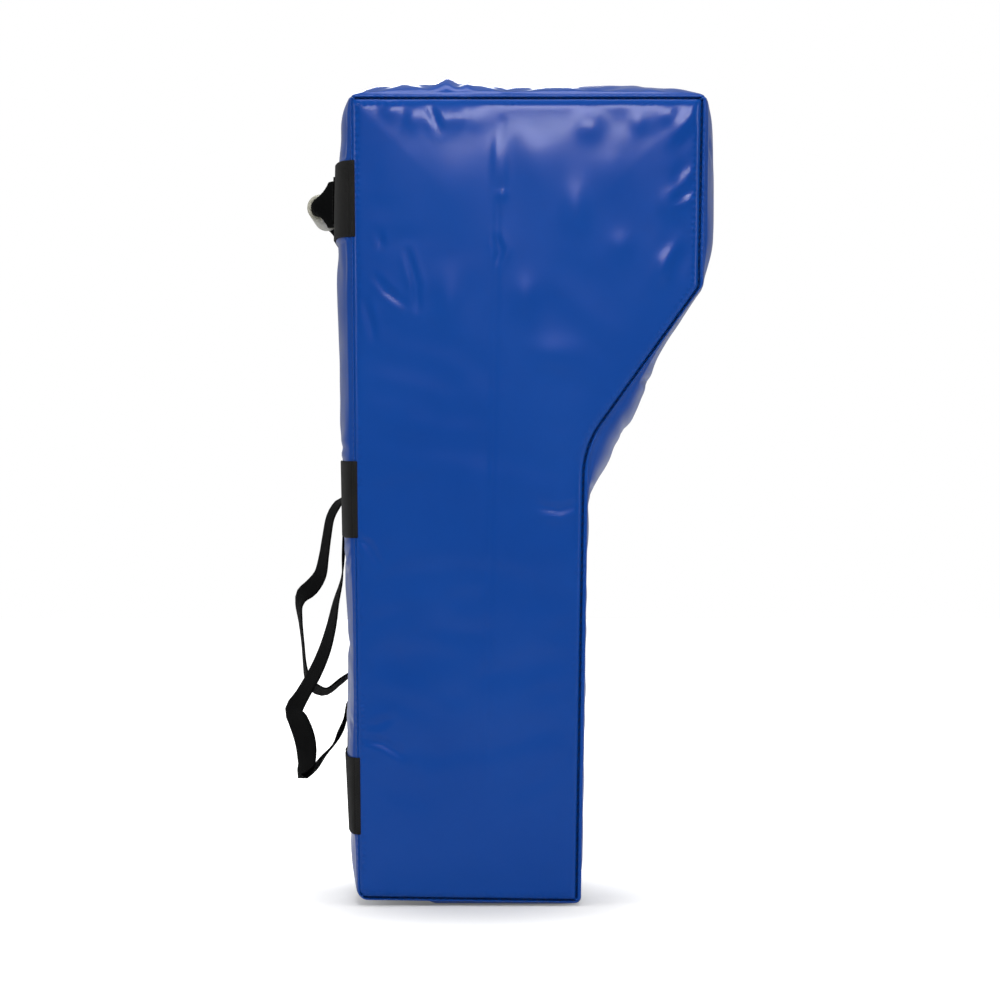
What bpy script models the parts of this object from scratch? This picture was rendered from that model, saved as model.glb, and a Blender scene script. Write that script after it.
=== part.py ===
"""Tackle shield: a foam wedge pad in a coated fabric cover, with webbing bands, a grip and two arm loops.

Metres, +Z up. The pad stands on its base at Z = 0, its strike face looks along -Y and the side that the
holder stands at looks along +Y. The origin is the middle of the base's rest face. Right and left are the
holder's own: the right side is at -X.
"""

import math

import bmesh
import bpy
from mathutils import Vector

# Pad outline, seen from the side, along the seam folds
pad_width = 0.400
base_depth = 0.2230
seam_top = 0.811
back_lean = 0.008
top_depth = 0.3565
nose_height = 0.621
nose_setback = 0.0035
elbow_height = 0.462
elbow_step = 0.0075
back_seam_lift = 0.006
front_seam_lift = 0.003
back_bottom_radius = 0.010
back_top_radius = 0.004
front_top_radius = 0.004
nose_radius = 0.010
elbow_radius = 0.100
front_bottom_radius = 0.006

# Cover: coated fabric over foam, swollen between its seams
cover_thickness = 0.0009
seam_gap = 0.0004
crown_reach = 0.060
edge_reaches = (0.003, 0.009, 0.020, 0.038, crown_reach)
side_crown = 0.008
top_crown = 0.0175
top_front_crown = 0.0130
back_crown = 0.018
strike_crown = 0.0115
nose_crown = 0.0035
elbow_crown = 0.0215
lower_crown = 0.0020
nose_reach = 0.050
elbow_lead = 0.036
elbow_reach = 0.062

# Base: flat where it stands, with a shallow recess along the zip
base_reach = 0.025
zip_setback = 0.046
zip_recess = 0.009
recess_floor = 0.013
recess_slope = 0.014
zip_opening = 0.0045

# Foam blocks: a slab at the back, a slab at the front and the wedge above the elbow
foam_clearance = 0.0009
foam_gap = 0.0003
back_slab_bottom_depth = 0.125
back_slab_top_depth = 0.152
foam_corner = 0.006
foam_zip_relief = 0.0135

# Webbing bands across the back
band_height = 0.075
band_thickness = 0.0016
band_end_setback = 0.001
band_gap = 0.0005
top_band_middle = 0.7075
middle_band_middle = 0.408
bottom_band_middle = 0.112

# Carry handle: folded webbing through a plastic tube
handle_height = 0.712
handle_webbing_width = 0.050
handle_webbing_thickness = 0.0016
handle_patch_end = 0.135
handle_patch_start = 0.100
handle_tube_length = 0.120
handle_tube_outer = 0.028
handle_tube_bore = 0.019
handle_standoff = 0.0193
handle_split = 0.0065
handle_split_gap = 0.0004
handle_straight = 0.002
handle_roll_clearance = 0.0003
handle_roll_turn = math.radians(325)

# Arm loops: flat webbing from the middle band to the bottom band
loop_width = 0.038
loop_thickness = 0.0016
loop_side_margin = 0.110
loop_place = pad_width / 2 - loop_side_margin
loop_sewn_length = 0.030
loop_axis_offset = 0.0256
loop_split_gap = 0.0004
loop_lap_gap = 0.0005
loop_depth = 0.064

# Zip in the base
zip_end_margin = 0.035
zip_length = pad_width - 2 * zip_end_margin
zip_tape_width = 0.012
zip_tape_thickness = 0.0006
zip_gap = 0.0003
zip_coil_width = 0.0024
zip_coil_height = 0.0020
zip_coil_parting = 0.0014
zip_stop_length = 0.004
slider_length = 0.011
slider_width = 0.0085
slider_plate = 0.0008
slider_post = 0.0008
slider_post_length = 0.004
slider_ear = 0.0010
slider_ear_length = 0.0030
slider_pin_radius = 0.0006
slider_park = 0.006
pull_length = 0.024
pull_width = 0.0050
pull_thickness = 0.0010
pull_eye_wall = 0.0006

# Shares along the height of the back, from the base to the top, of the back panel's crown
BACK_CROWN_SHARES = (0.42, 0.50, 0.67, 0.46, 0.73, 0.77, 0.91, 1.04, 0.92, 1.00)
# Each loop point: share of loop_depth off the panel, share of the height from the bottom band's upper
# edge to the middle band's lower edge, and share of a quarter turn that the webbing is twisted
RIGHT_ROOT_SHARES = (
    (0.075, 0.90, 0.00),
    (0.120, 0.79, 0.05),
    (0.235, 0.68, 0.12),
    (0.330, 0.57, 0.18),
)
RIGHT_FREE_SHARES = (
    (0.590, 0.355, 0.24),
    (0.800, 0.242, 0.26),
    (0.923, 0.177, 0.28),
    (0.857, 0.130, 0.34),
    (0.775, 0.075, 0.36),
    (0.720, 0.018, 0.34),
    (0.710, -0.038, 0.30),
    (0.737, -0.094, 0.25),
    (0.815, -0.140, 0.16),
    (0.615, -0.103, 0.10),
)
RIGHT_RETURN_SHARES = (
    (0.253, 0.018, 0.02),
    (0.160, 0.075, 0.06),
    (0.085, 0.140, 0.02),
    (0.064, 0.195, 0.00),
    (0.045, 0.218, 0.00),
    (0.024, 0.195, 0.00),
    (0.022, 0.120, 0.00),
)
LEFT_ROOT_SHARES = (
    (0.078, 1.172, 0.00),
    (0.120, 1.172, 0.00),
    (0.200, 1.138, 0.15),
)
LEFT_FREE_SHARES = (
    (0.493, 0.960, 0.20),
    (0.632, 0.842, 0.27),
    (0.872, 0.723, 0.27),
    (1.037, 0.664, 0.24),
    (1.062, 0.575, 0.12),
    (1.062, 0.486, 0.08),
    (1.035, 0.368, 0.07),
    (0.938, 0.290, 0.14),
    (0.800, 0.235, 0.22),
    (0.640, 0.212, 0.20),
    (0.510, 0.218, 0.12),
)
LEFT_RETURN_SHARES = (
    (0.297, 0.268, 0.10),
    (0.160, 0.300, 0.06),
    (0.064, 0.322, 0.02),
    (0.045, 0.336, 0.00),
    (0.024, 0.318, 0.00),
    (0.022, 0.160, 0.00),
)
RIGHT_SPLIT_SHARES = (0.507, -0.038)
LEFT_SPLIT_SHARES = (1.075, 0.243)
RIGHT_SPLIT_TWIST_SHARES = (0.22, 0.05)
LEFT_SPLIT_TWIST_SHARES = (0.12, 0.08)


def linear(red, green, blue):
    """Linear colour of an eight-bit screen colour."""
    return tuple(((level / 255 + 0.055) / 1.055) ** 2.4 for level in (red, green, blue)) + (1.0,)


def new_material(name, colour, roughness, metallic=0.0):
    material = bpy.data.materials.new(name)
    material.use_nodes = True
    shader = material.node_tree.nodes["Principled BSDF"]
    shader.inputs["Base Color"].default_value = colour
    shader.inputs["Roughness"].default_value = roughness
    shader.inputs["Metallic"].default_value = metallic
    material.diffuse_color = colour
    return material


for old in list(bpy.data.objects):
    bpy.data.objects.remove(old, do_unlink=True)

parts = bpy.data.collections.new("tackle_shield")
cutters = bpy.data.collections.new("cutters")
bpy.context.scene.collection.children.link(parts)
bpy.context.scene.collection.children.link(cutters)

vinyl = new_material("coated_fabric_blue", linear(20, 70, 148), 0.28)
webbing = new_material("webbing_black", linear(30, 31, 35), 0.75)
foam = new_material("foam_grey", linear(206, 206, 200), 0.95)
grip_plastic = new_material("grip_plastic", linear(155, 153, 142), 0.45)
zip_nylon = new_material("zip_nylon", linear(24, 25, 28), 0.5)
zip_metal = new_material("zip_metal", linear(150, 150, 152), 0.35, 1.0)


def new_object(name, bm, material, collection=None):
    """Object of a finished bmesh, smooth shaded with its sharp edges kept."""
    mesh = bpy.data.meshes.new(name)
    bm.to_mesh(mesh)
    bm.free()
    mesh.materials.append(material)
    mesh.shade_smooth()
    mesh.set_sharp_from_angle(angle=math.radians(40))
    made = bpy.data.objects.new(name, mesh)
    (collection or parts).objects.link(made)
    return made


def solidify(made, thickness, offset):
    shell = made.modifiers.new("thickness", "SOLIDIFY")
    shell.thickness = thickness
    shell.offset = offset


def grid_sheet(place, across, along, outward):
    """Open sheet of across by along cells, each corner put by place(column, row), facing outward."""
    bm = bmesh.new()
    bmesh.ops.create_grid(bm, x_segments=across, y_segments=along, size=1)
    for vertex in bm.verts:
        column = round((vertex.co.x + 1) / 2 * across)
        row = round((vertex.co.y + 1) / 2 * along)
        vertex.co = place(column, row)
    bm.normal_update()
    facing = sum((face.normal.dot(outward) for face in bm.faces), 0.0)
    if facing < 0:
        bmesh.ops.reverse_faces(bm, faces=bm.faces)
    return bm


def face_outwards(bm):
    """Turn the faces of a closed mesh outwards, whichever way it bends."""
    bmesh.ops.recalc_face_normals(bm, faces=bm.faces)
    if bm.calc_volume(signed=True) < 0:
        bmesh.ops.reverse_faces(bm, faces=bm.faces)


def strip_solid(place, lengths, widths):
    """Closed strip: place(length index, width index, side) puts each corner, with side -1 or 1."""
    bm = bmesh.new()
    bmesh.ops.create_cube(bm, size=1)
    for cells, axis in ((lengths, Vector((1, 0, 0))), (widths, Vector((0, 1, 0)))):
        for cut in range(1, cells):
            everything = bm.verts[:] + bm.edges[:] + bm.faces[:]
            spot = axis * (cut / cells - 1 / 2)
            bmesh.ops.bisect_plane(bm, geom=everything, plane_co=spot, plane_no=axis)
    for vertex in bm.verts:
        step = round((vertex.co.x + 1 / 2) * lengths)
        lane = round((vertex.co.y + 1 / 2) * widths)
        side = 1 if vertex.co.z > 0 else -1
        vertex.co = place(step, lane, side)
    face_outwards(bm)
    return bm


def swell(distance, reach):
    """Rise of a stuffed cover at a distance from its seam, from 0 at the seam to 1 past the reach."""
    inside = 1 - min(max(distance, 0) / reach, 1)
    return math.sqrt(1 - inside * inside)


def ease(share):
    share = min(max(share, 0), 1)
    return share * share * (3 - 2 * share)


def between(low, high, share):
    return low + (high - low) * share


# Outline corners, in order round the pad, each with its fold radius
base_back = base_depth / 2
back_bottom = Vector((base_back, back_seam_lift))
back_top = Vector((base_back + back_lean, seam_top))
front_top = Vector((base_back + back_lean - top_depth, seam_top))
nose = Vector((front_top.x + nose_setback, nose_height))
elbow = Vector((-base_back - elbow_step, elbow_height))
front_bottom = Vector((-base_back, front_seam_lift))
corners = (back_bottom, back_top, front_top, nose, elbow, front_bottom)
radii = (
    back_bottom_radius,
    back_top_radius,
    front_top_radius,
    nose_radius,
    elbow_radius,
    front_bottom_radius,
)


def turned(vector, angle):
    cosine = math.cos(angle)
    sine = math.sin(angle)
    return Vector((vector.x * cosine - vector.y * sine, vector.x * sine + vector.y * cosine))


def corner_arc(index):
    """Start, incoming direction, signed turn and radius of the fold at one corner."""
    corner = corners[index % len(corners)]
    incoming = (corner - corners[index - 1]).normalized()
    outgoing = (corners[(index + 1) % len(corners)] - corner).normalized()
    turn = math.atan2(incoming.x * outgoing.y - incoming.y * outgoing.x, incoming.dot(outgoing))
    radius = radii[index % len(corners)]
    start = corner - incoming * radius * math.tan(abs(turn) / 2)
    return start, incoming, turn, radius


def arc_piece(index, first, last):
    """Part of a corner's fold, between two shares of its turn, as a length and a place along it."""
    start, incoming, turn, radius = corner_arc(index)
    side = math.copysign(1, turn)
    centre = start + Vector((-incoming.y, incoming.x)) * side * radius

    def place(share):
        angle = turn * between(first, last, share)
        return centre + turned(start - centre, angle), turned(incoming, angle)

    return radius * abs(turn) * (last - first), place


def line_piece(index):
    """Straight run from the fold at one corner to the fold at the next."""
    start, incoming, turn, radius = corner_arc(index)
    side = math.copysign(1, turn)
    centre = start + Vector((-incoming.y, incoming.x)) * side * radius
    here = centre + turned(start - centre, turn)
    there = corner_arc(index + 1)[0]
    heading = (there - here).normalized()
    return (there - here).length, lambda share: (here.lerp(there, share), heading)


class Route:
    """Way along the outline from the middle of one corner's fold to the middle of another's."""

    def __init__(self, first, last, whole_ends=False):
        head = 0 if whole_ends else 1 / 2
        self.pieces = [arc_piece(first, head, 1)]
        self.corner_middles = [0]
        for index in range(first, last):
            self.pieces.append(line_piece(index))
            if index + 1 < last:
                piece = arc_piece(index + 1, 0, 1)
                self.corner_middles.append(self.length() + piece[0] / 2)
                self.pieces.append(piece)
        self.pieces.append(arc_piece(last, 0, 1 - head))
        self.corner_middles.append(self.length())

    def length(self):
        return sum(piece[0] for piece in self.pieces)

    def at(self, distance):
        """Point, and outward direction square to the outline, at a distance along the route."""
        left = min(max(distance, 0), self.length())
        for length, place in self.pieces:
            if left <= length or (length, place) == self.pieces[-1]:
                point, heading = place(min(left / length, 1))
                return point, Vector((heading.y, -heading.x))
            left -= length

    def distance_at(self, height):
        """Distance along a route that only climbs, or only falls, where it passes a height."""
        low = 0
        high = self.length()
        climbing = self.at(high)[0].y > self.at(low)[0].y
        for _ in range(40):
            middle = (low + high) / 2
            if (self.at(middle)[0].y < height) == climbing:
                low = middle
            else:
                high = middle
        return (low + high) / 2


back_route = Route(0, 1)
top_route = Route(1, 2)
strike_route = Route(2, 5)
base_route = Route(5, 6)

# Band edges on the back, which the back panel's rows line up with
band_middles = (bottom_band_middle, middle_band_middle, top_band_middle)
band_edges = [
    (middle - band_height / 2, middle + band_height / 2)
    for middle in band_middles
]
(bottom_low, bottom_high), (middle_low, middle_high), (top_low, top_high) = band_edges
crown_heights = (
    0,
    bottom_low,
    bottom_high,
    (bottom_high + middle_low) / 2,
    middle_low,
    middle_high,
    (middle_high + top_low) / 2,
    top_low,
    top_high,
    seam_top,
)


def back_fullness(height):
    """Crown of the back panel at mid-width, at a height."""
    shares = BACK_CROWN_SHARES
    for index in range(len(crown_heights) - 1):
        low = crown_heights[index]
        high = crown_heights[index + 1]
        if height <= high or index == len(crown_heights) - 2:
            share = min(max((height - low) / (high - low), 0), 1)
            return back_crown * between(shares[index], shares[index + 1], share)


# Crown of the strike panel at mid-width along its route: full above, tight round the nose, bridging
# the elbow and nearly flat below it
nose_distance = strike_route.corner_middles[1]
elbow_distance = strike_route.corner_middles[2]
strike_keys = (
    (0, strike_crown),
    (nose_distance - nose_reach, strike_crown),
    (nose_distance, nose_crown),
    (nose_distance + nose_reach, nose_crown),
    (elbow_distance - elbow_lead, elbow_crown),
    (elbow_distance, elbow_crown),
    (elbow_distance + elbow_reach, lower_crown),
    (strike_route.length(), lower_crown / 2),
)


def strike_fullness(distance):
    for (low, crown), (high, next_crown) in zip(strike_keys, strike_keys[1:]):
        if distance <= high:
            return between(crown, next_crown, ease((distance - low) / (high - low)))
    return strike_keys[-1][1]


def end_distances(length, reaches):
    """Rows that crowd towards both ends of a panel, where its crown rises fastest."""
    near = [seam_gap / 2] + list(reaches)
    return near + [length - distance for distance in reversed(near)]


def crowned_profile(route, rows, fullness):
    """Rows of (seam point, displacement at full crown) along a route."""
    profile = []
    for distance in sorted(rows):
        point, outward = route.at(distance)
        room = min(distance, route.length() - distance)
        profile.append((point, outward * fullness(distance) * swell(room, crown_reach)))
    return profile


def columns_within(half_width, reaches):
    """Places across the pad, crowding towards its sides."""
    near = [half_width - reach for reach in reaches]
    right = [-half_width] + [-place for place in near]
    return right + [0] + [-place for place in reversed(right)]


gusset_half = pad_width / 2 - cover_thickness - seam_gap
gusset_columns = columns_within(gusset_half, edge_reaches)


def gusset_point(profile_row, x):
    point, displacement = profile_row
    rise = swell(gusset_half - abs(x), crown_reach)
    here = point + displacement * rise
    return Vector((x, here.x, here.y))


def gusset_panel(name, profile, outward):
    def place(column, row):
        return gusset_point(profile[row], gusset_columns[column])

    bm = grid_sheet(place, len(gusset_columns) - 1, len(profile) - 1, outward)
    panel = new_object(name, bm, vinyl)
    solidify(panel, cover_thickness, -1)


# Back panel
back_rows = end_distances(back_route.length(), edge_reaches)
back_rows += [back_route.distance_at(height) for height in crown_heights[1:-1]]
back_profile = crowned_profile(
    back_route, back_rows, lambda distance: back_fullness(back_route.at(distance)[0].y)
)
gusset_panel("back_panel", back_profile, Vector((0, 1, 0)))

# Top panel
top_rows = end_distances(top_route.length(), edge_reaches) + [top_route.length() / 2]
top_profile = crowned_profile(
    top_route,
    top_rows,
    lambda distance: between(top_crown, top_front_crown, distance / top_route.length()),
)
gusset_panel("top_panel", top_profile, Vector((0, 0, 1)))

# Strike panel: the upper face, the slope under the nose and the lower face in one piece
nose_half = nose_radius * abs(corner_arc(3)[2]) / 2
elbow_half = elbow_radius * abs(corner_arc(4)[2]) / 2
strike_rows = end_distances(strike_route.length(), edge_reaches)
strike_rows += [nose_distance - nose_reach * share for share in (1, 1 / 2, 1 / 4)]
strike_rows += [nose_distance + nose_half * share for share in (-1, -1 / 3, 1 / 3, 1)]
strike_rows += [nose_distance + nose_reach / 2, nose_distance + nose_reach]
slope_end = elbow_distance - elbow_half
slope_run = slope_end - nose_distance - nose_reach
strike_rows += [nose_distance + nose_reach + slope_run * share for share in (1 / 4, 1 / 2, 3 / 4)]
strike_rows += [elbow_distance + elbow_half * share for share in (-1, -1 / 2, 0, 1 / 2, 1)]
lower_end = elbow_distance + elbow_reach
strike_rows += [between(elbow_distance + elbow_half, lower_end, share) for share in (1 / 2, 1)]
lower_run = strike_route.length() - crown_reach - lower_end
strike_rows += [lower_end + lower_run * share for share in (1 / 3, 2 / 3)]
strike_profile = crowned_profile(strike_route, strike_rows, strike_fullness)
gusset_panel("strike_panel", strike_profile, Vector((0, -1, 0)))

# Base panels, either side of the zip. The front one is flat at Z = 0 inside its edges, and both rise
# to the recess that keeps the slider off the ground
zip_line = base_back - zip_setback
recess_edge = zip_opening + recess_floor


def base_height(x, y, seam_height, room):
    """Height of the base's outer face: seams are off the ground, the middle lies on it."""
    rise = swell(room, base_reach) * swell(gusset_half - abs(x), base_reach)
    recess = zip_recess * (1 - ease((abs(y - zip_line) - recess_edge) / recess_slope))
    if y > zip_line:
        recess = zip_recess
    return between(seam_height, recess, rise)


def base_panel(name, near_seam, rows):
    """One base panel: rows are distances from its outer seam, and the last ones end at the zip."""
    length = base_route.length()

    def place(column, row):
        x = gusset_columns[column]
        open_share = swell(zip_length / 2 + zip_opening - abs(x), zip_opening)
        parting = seam_gap / 2 + zip_opening * open_share
        distance = rows[row]
        point = base_route.at(distance if near_seam else length - distance)[0]
        if row == len(rows) - 1:
            side = -1 if near_seam else 1
            point = Vector((zip_line + side * parting, point.y))
        return Vector((x, point.x, base_height(x, point.x, point.y, distance)))

    bm = grid_sheet(place, len(gusset_columns) - 1, len(rows) - 1, Vector((0, 0, -1)))
    panel = new_object(name, bm, vinyl)
    solidify(panel, cover_thickness, -1)


def base_distance(y, from_front):
    """Distance along the base route of a place between its two seams, from one of them."""
    half_arc = base_route.pieces[0][0] if from_front else base_route.pieces[-1][0]
    start = base_route.pieces[1][1](0 if from_front else 1)[0]
    return half_arc + abs(y - start.x)


front_rows = [seam_gap / 2, edge_reaches[0], edge_reaches[1], edge_reaches[2], base_reach]
slope_foot = zip_line - recess_edge - recess_slope
front_rows += [base_distance((slope_foot - base_back + base_reach) / 2, True)]
front_rows += [base_distance(slope_foot + recess_slope * share, True) for share in (0, 1 / 3, 2 / 3, 1)]
front_rows += [base_distance(zip_line, True)]
base_panel("base_panel_front", True, front_rows)
rear_rows = [seam_gap / 2, edge_reaches[0], edge_reaches[1], edge_reaches[2], base_reach]
rear_rows += [base_distance(zip_line, False)]
base_panel("base_panel_rear", False, rear_rows)

# Side panels: flat outlines swollen outwards, with their folds on the outline itself
back_chain = Route(0, 1, True)
front_chain = Route(2, 5, True)
outline_points = []
for route in (back_route, top_route, strike_route, base_route):
    cells = 60 if route is strike_route else 24
    outline_points += [route.at(route.length() * step / cells)[0] for step in range(cells)]


def outline_room(point):
    """Distance from a point of a side panel to the nearest fold."""
    nearest = pad_width
    for index, start in enumerate(outline_points):
        run = outline_points[(index + 1) % len(outline_points)] - start
        share = min(max((point - start).dot(run) / run.length_squared, 0), 1)
        nearest = min(nearest, (point - start - run * share).length)
    return nearest


def side_rows():
    """Pairs of points, on the back fold and on the strike fold, from the base to the top."""
    pairs = []
    back_arc = back_chain.pieces[0][0]
    front_arc = front_chain.pieces[-1][0]
    for share in (0, 1 / 3, 2 / 3, 1):
        back_point = back_chain.at(back_arc * share)[0]
        pairs.append((back_point, front_chain.at(front_chain.length() - front_arc * share)[0]))
    nose_low = arc_piece(3, 0, 1)[1](1)[0].y
    nose_high = arc_piece(3, 0, 1)[1](0)[0].y
    elbow_low = arc_piece(4, 0, 1)[1](1)[0].y
    elbow_high = arc_piece(4, 0, 1)[1](0)[0].y
    heights = [edge_reaches[2], edge_reaches[3], crown_reach]
    heights += [between(crown_reach, elbow_low, share) for share in (1 / 3, 2 / 3)]
    heights += [between(elbow_low, elbow_high, share) for share in (0, 1 / 3, 2 / 3, 1)]
    heights += [between(elbow_high, nose_low, share) for share in (1 / 4, 1 / 2, 3 / 4)]
    heights += [between(nose_low, nose_high, share) for share in (0, 1 / 2, 1)]
    heights += [between(nose_high, seam_top - crown_reach, share) for share in (1 / 5, 3 / 5)]
    heights += [seam_top - reach for reach in reversed(edge_reaches[1:])]
    for height in heights:
        back_point = back_chain.at(back_chain.distance_at(height))[0]
        pairs.append((back_point, front_chain.at(front_chain.distance_at(height))[0]))
    back_arc = back_chain.pieces[-1][0]
    front_arc = front_chain.pieces[0][0]
    for share in (0, 1 / 2, 1):
        back_point = back_chain.at(back_chain.length() - back_arc * (1 - share))[0]
        pairs.append((back_point, front_chain.at(front_arc * (1 - share))[0]))
    return pairs


def side_panel(name, side):
    pairs = side_rows()
    reaches = (0,) + edge_reaches

    def place(column, row):
        back_point, front_point = pairs[row]
        width = (front_point - back_point).length
        if column < len(reaches):
            share = reaches[column] / width
        elif column == len(reaches):
            share = 1 / 2
        else:
            share = 1 - reaches[2 * len(reaches) - column] / width
        point = back_point.lerp(front_point, share)
        edge = row in (0, len(pairs) - 1) or column in (0, 2 * len(reaches))
        rise = 0 if edge else side_crown * swell(outline_room(point), crown_reach)
        return Vector((side * (pad_width / 2 + rise), point.x, point.y))

    bm = grid_sheet(place, 2 * len(reaches), len(pairs) - 1, Vector((side, 0, 0)))
    panel = new_object(name, bm, vinyl)
    solidify(panel, cover_thickness, -1)


side_panel("right_side_panel", -1)
side_panel("left_side_panel", 1)

# Foam blocks: rings of one profile each, swollen like the cover they fill
foam_inset = cover_thickness + foam_clearance
foam_half = pad_width / 2 - foam_inset
foam_reaches = (edge_reaches[1], edge_reaches[3])
foam_columns = columns_within(foam_half, foam_reaches)
foam_floor = cover_thickness + foam_gap


def foam_block(name, profile):
    """Block of rings across the pad: profile holds (point, displacement at full crown), once round."""
    def place(column, row):
        x = foam_columns[column]
        point, displacement = profile[row % len(profile)]
        here = point + displacement * swell(foam_half - abs(x), crown_reach)
        return Vector((x, here.x, here.y))

    bm = grid_sheet(place, len(foam_columns) - 1, len(profile), Vector((0, 0, 1)))
    bmesh.ops.remove_doubles(bm, verts=bm.verts, dist=foam_gap / 10)
    bmesh.ops.holes_fill(bm, edges=[edge for edge in bm.edges if edge.is_boundary], sides=0)
    face_outwards(bm)
    new_object(name, bm, foam)


def joint_y(height):
    """Parting plane between the two slabs, which leans with the back."""
    share = height / seam_top
    depth = between(back_slab_bottom_depth, back_slab_top_depth, share)
    return between(back_bottom.x, back_top.x, share) - depth


def foam_top(y):
    """Top of the foam at a depth, with its displacement at full crown."""
    room = min(back_top.x - y, y - front_top.x) - foam_inset
    fullness = between(top_crown, top_front_crown, (back_top.x - y) / top_depth)
    return Vector((y, seam_top - foam_inset)), Vector((0, fullness * swell(room, crown_reach)))


def foam_back(height):
    y = between(back_bottom.x, back_top.x, (height - back_seam_lift) / (seam_top - back_seam_lift))
    room = min(height - back_seam_lift, seam_top - height) - foam_inset
    return (
        Vector((y - foam_inset, height)),
        Vector((back_fullness(height) * swell(room, crown_reach), 0)),
    )


def foam_lower_front(height):
    y = between(front_bottom.x, elbow.x, (height - front_seam_lift) / (elbow_height - front_seam_lift))
    return Vector((y + foam_inset, height)), Vector((0, 0))


def foam_bottom(y):
    """Underside of the foam at a depth, which sinks from the sides to the level of the base."""
    share = (y - front_bottom.x) / (back_bottom.x - front_bottom.x)
    lift = between(front_seam_lift, back_seam_lift, share)
    return Vector((y, lift + foam_floor)), Vector((0, -lift))


still = Vector((0, 0))
joint_half_gap = foam_gap / 2
relief_edge = zip_line - recess_edge - recess_slope
back_slab = [
    foam_bottom(joint_y(foam_floor) + joint_half_gap),
    foam_bottom(relief_edge),
    (Vector((zip_line - recess_edge, foam_zip_relief)), still),
    (Vector((back_bottom.x - foam_inset - foam_corner, foam_zip_relief)), still),
]
back_slab += [foam_back(height) for height in (foam_zip_relief + foam_corner, edge_reaches[3], crown_reach)]
back_slab += [foam_back(height) for height in crown_heights[1:-1]]
back_slab += [foam_back(seam_top - reach) for reach in (crown_reach, edge_reaches[3], edge_reaches[1])]
back_slab += [
    foam_top(back_top.x - reach)
    for reach in (edge_reaches[1], edge_reaches[3], crown_reach)
]
back_slab += [foam_top(joint_y(seam_top) + joint_half_gap)]
foam_block("back_foam_slab", back_slab)

wedge_plane = elbow.x + foam_inset + joint_half_gap
front_slab = [
    foam_top(joint_y(seam_top) - joint_half_gap),
    foam_top(wedge_plane),
    (Vector((wedge_plane, elbow_height)), still),
    foam_lower_front(elbow_height - foam_corner),
    foam_lower_front(crown_reach),
    foam_lower_front(foam_floor + foam_corner * 2),
    foam_bottom(front_bottom.x + base_reach),
    foam_bottom(joint_y(foam_floor) - joint_half_gap),
]
foam_block("front_foam_slab", front_slab)


def foam_upper_front(height):
    y = between(nose.x, front_top.x, (height - nose_height) / (seam_top - nose_height))
    fullness = strike_fullness(strike_route.distance_at(height))
    reach = fullness * swell(seam_top - height - foam_inset, crown_reach)
    return Vector((y + foam_inset, height)), Vector((-reach, 0))


slope_heading = (elbow - nose).normalized()
slope_inward = Vector((-slope_heading.y, slope_heading.x))
wedge_heel = elbow - slope_heading * (foam_corner * 2) + slope_inward * foam_inset
wedge_block = [
    foam_top(wedge_plane - foam_gap),
    foam_top(front_top.x + crown_reach),
    foam_top(front_top.x + edge_reaches[3]),
    foam_top(front_top.x + edge_reaches[1]),
]
wedge_block += [
    foam_upper_front(seam_top - reach)
    for reach in (edge_reaches[1], edge_reaches[3], crown_reach)
]
wedge_block += [foam_upper_front(nose_height + reach) for reach in (crown_reach, edge_reaches[1])]
wedge_block += [
    (nose + slope_heading * nose_radius + slope_inward * foam_inset, still),
    (wedge_heel, still),
    (Vector((wedge_plane - foam_gap, wedge_heel.y + foam_corner)), still),
]
foam_block("wedge_foam", wedge_block)


# Webbing bands, laid on the back panel and ending at its side seams
band_columns = columns_within(gusset_half, edge_reaches)
band_columns[0] = -gusset_half + band_end_setback
band_columns[-1] = gusset_half - band_end_setback


def back_surface(x, height, lift):
    """Point lifted square off the back panel, where its crown is full along its height."""
    distance = back_route.distance_at(height)
    point = back_route.at(distance)[0]
    room = gusset_half - abs(x)
    fullness = back_fullness(height)
    y = point.x + fullness * swell(room, crown_reach)
    run = band_end_setback / 2
    inner = fullness * swell(room + run, crown_reach)
    outer = fullness * swell(room - run, crown_reach)
    slope = (inner - outer) / (2 * run)
    outward = Vector((math.copysign(slope, x) if x else 0, 1, 0)).normalized()
    return Vector((x, y, height)) + outward * lift


def band(name, low, high):
    def place(step, lane, side):
        height = (low, high)[lane]
        lift = band_gap if side < 0 else band_gap + band_thickness
        return back_surface(band_columns[step], height, lift)

    bm = strip_solid(place, len(band_columns) - 1, 1)
    new_object(name, bm, webbing)


for name, (low, high) in zip(("bottom_band", "middle_band", "top_band"), band_edges):
    band(name, low, high)


def back_offset(height, lift, x=0):
    """Depth of a point lifted off the back panel's full crown."""
    return back_surface(x, height, lift).y


# Carry handle: each end is sewn flat on the top band, curls up and runs through the grip as one roll
band_face = back_offset(handle_height, band_gap + band_thickness)
patch_lift = band_gap + handle_webbing_thickness / 2
roll_radius = handle_tube_bore / 2 - handle_roll_clearance - handle_webbing_thickness / 2
grip_y = band_face + handle_standoff
handle_root = handle_tube_length / 2 + handle_split
handle_lanes = 12
handle_steps = 8


def handle_section(turn, spine, lane_share):
    """Offset from the band and height of a lane of the webbing, when it is curled by a turn."""
    width = min(handle_webbing_width, roll_radius * handle_roll_turn)
    angle = turn * (lane_share - 1 / 2)
    if turn < handle_roll_turn / 1000:
        return spine, width * (lane_share - 1 / 2)
    radius = width / turn
    return spine - radius * (1 - math.cos(angle)), radius * math.sin(angle)


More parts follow.
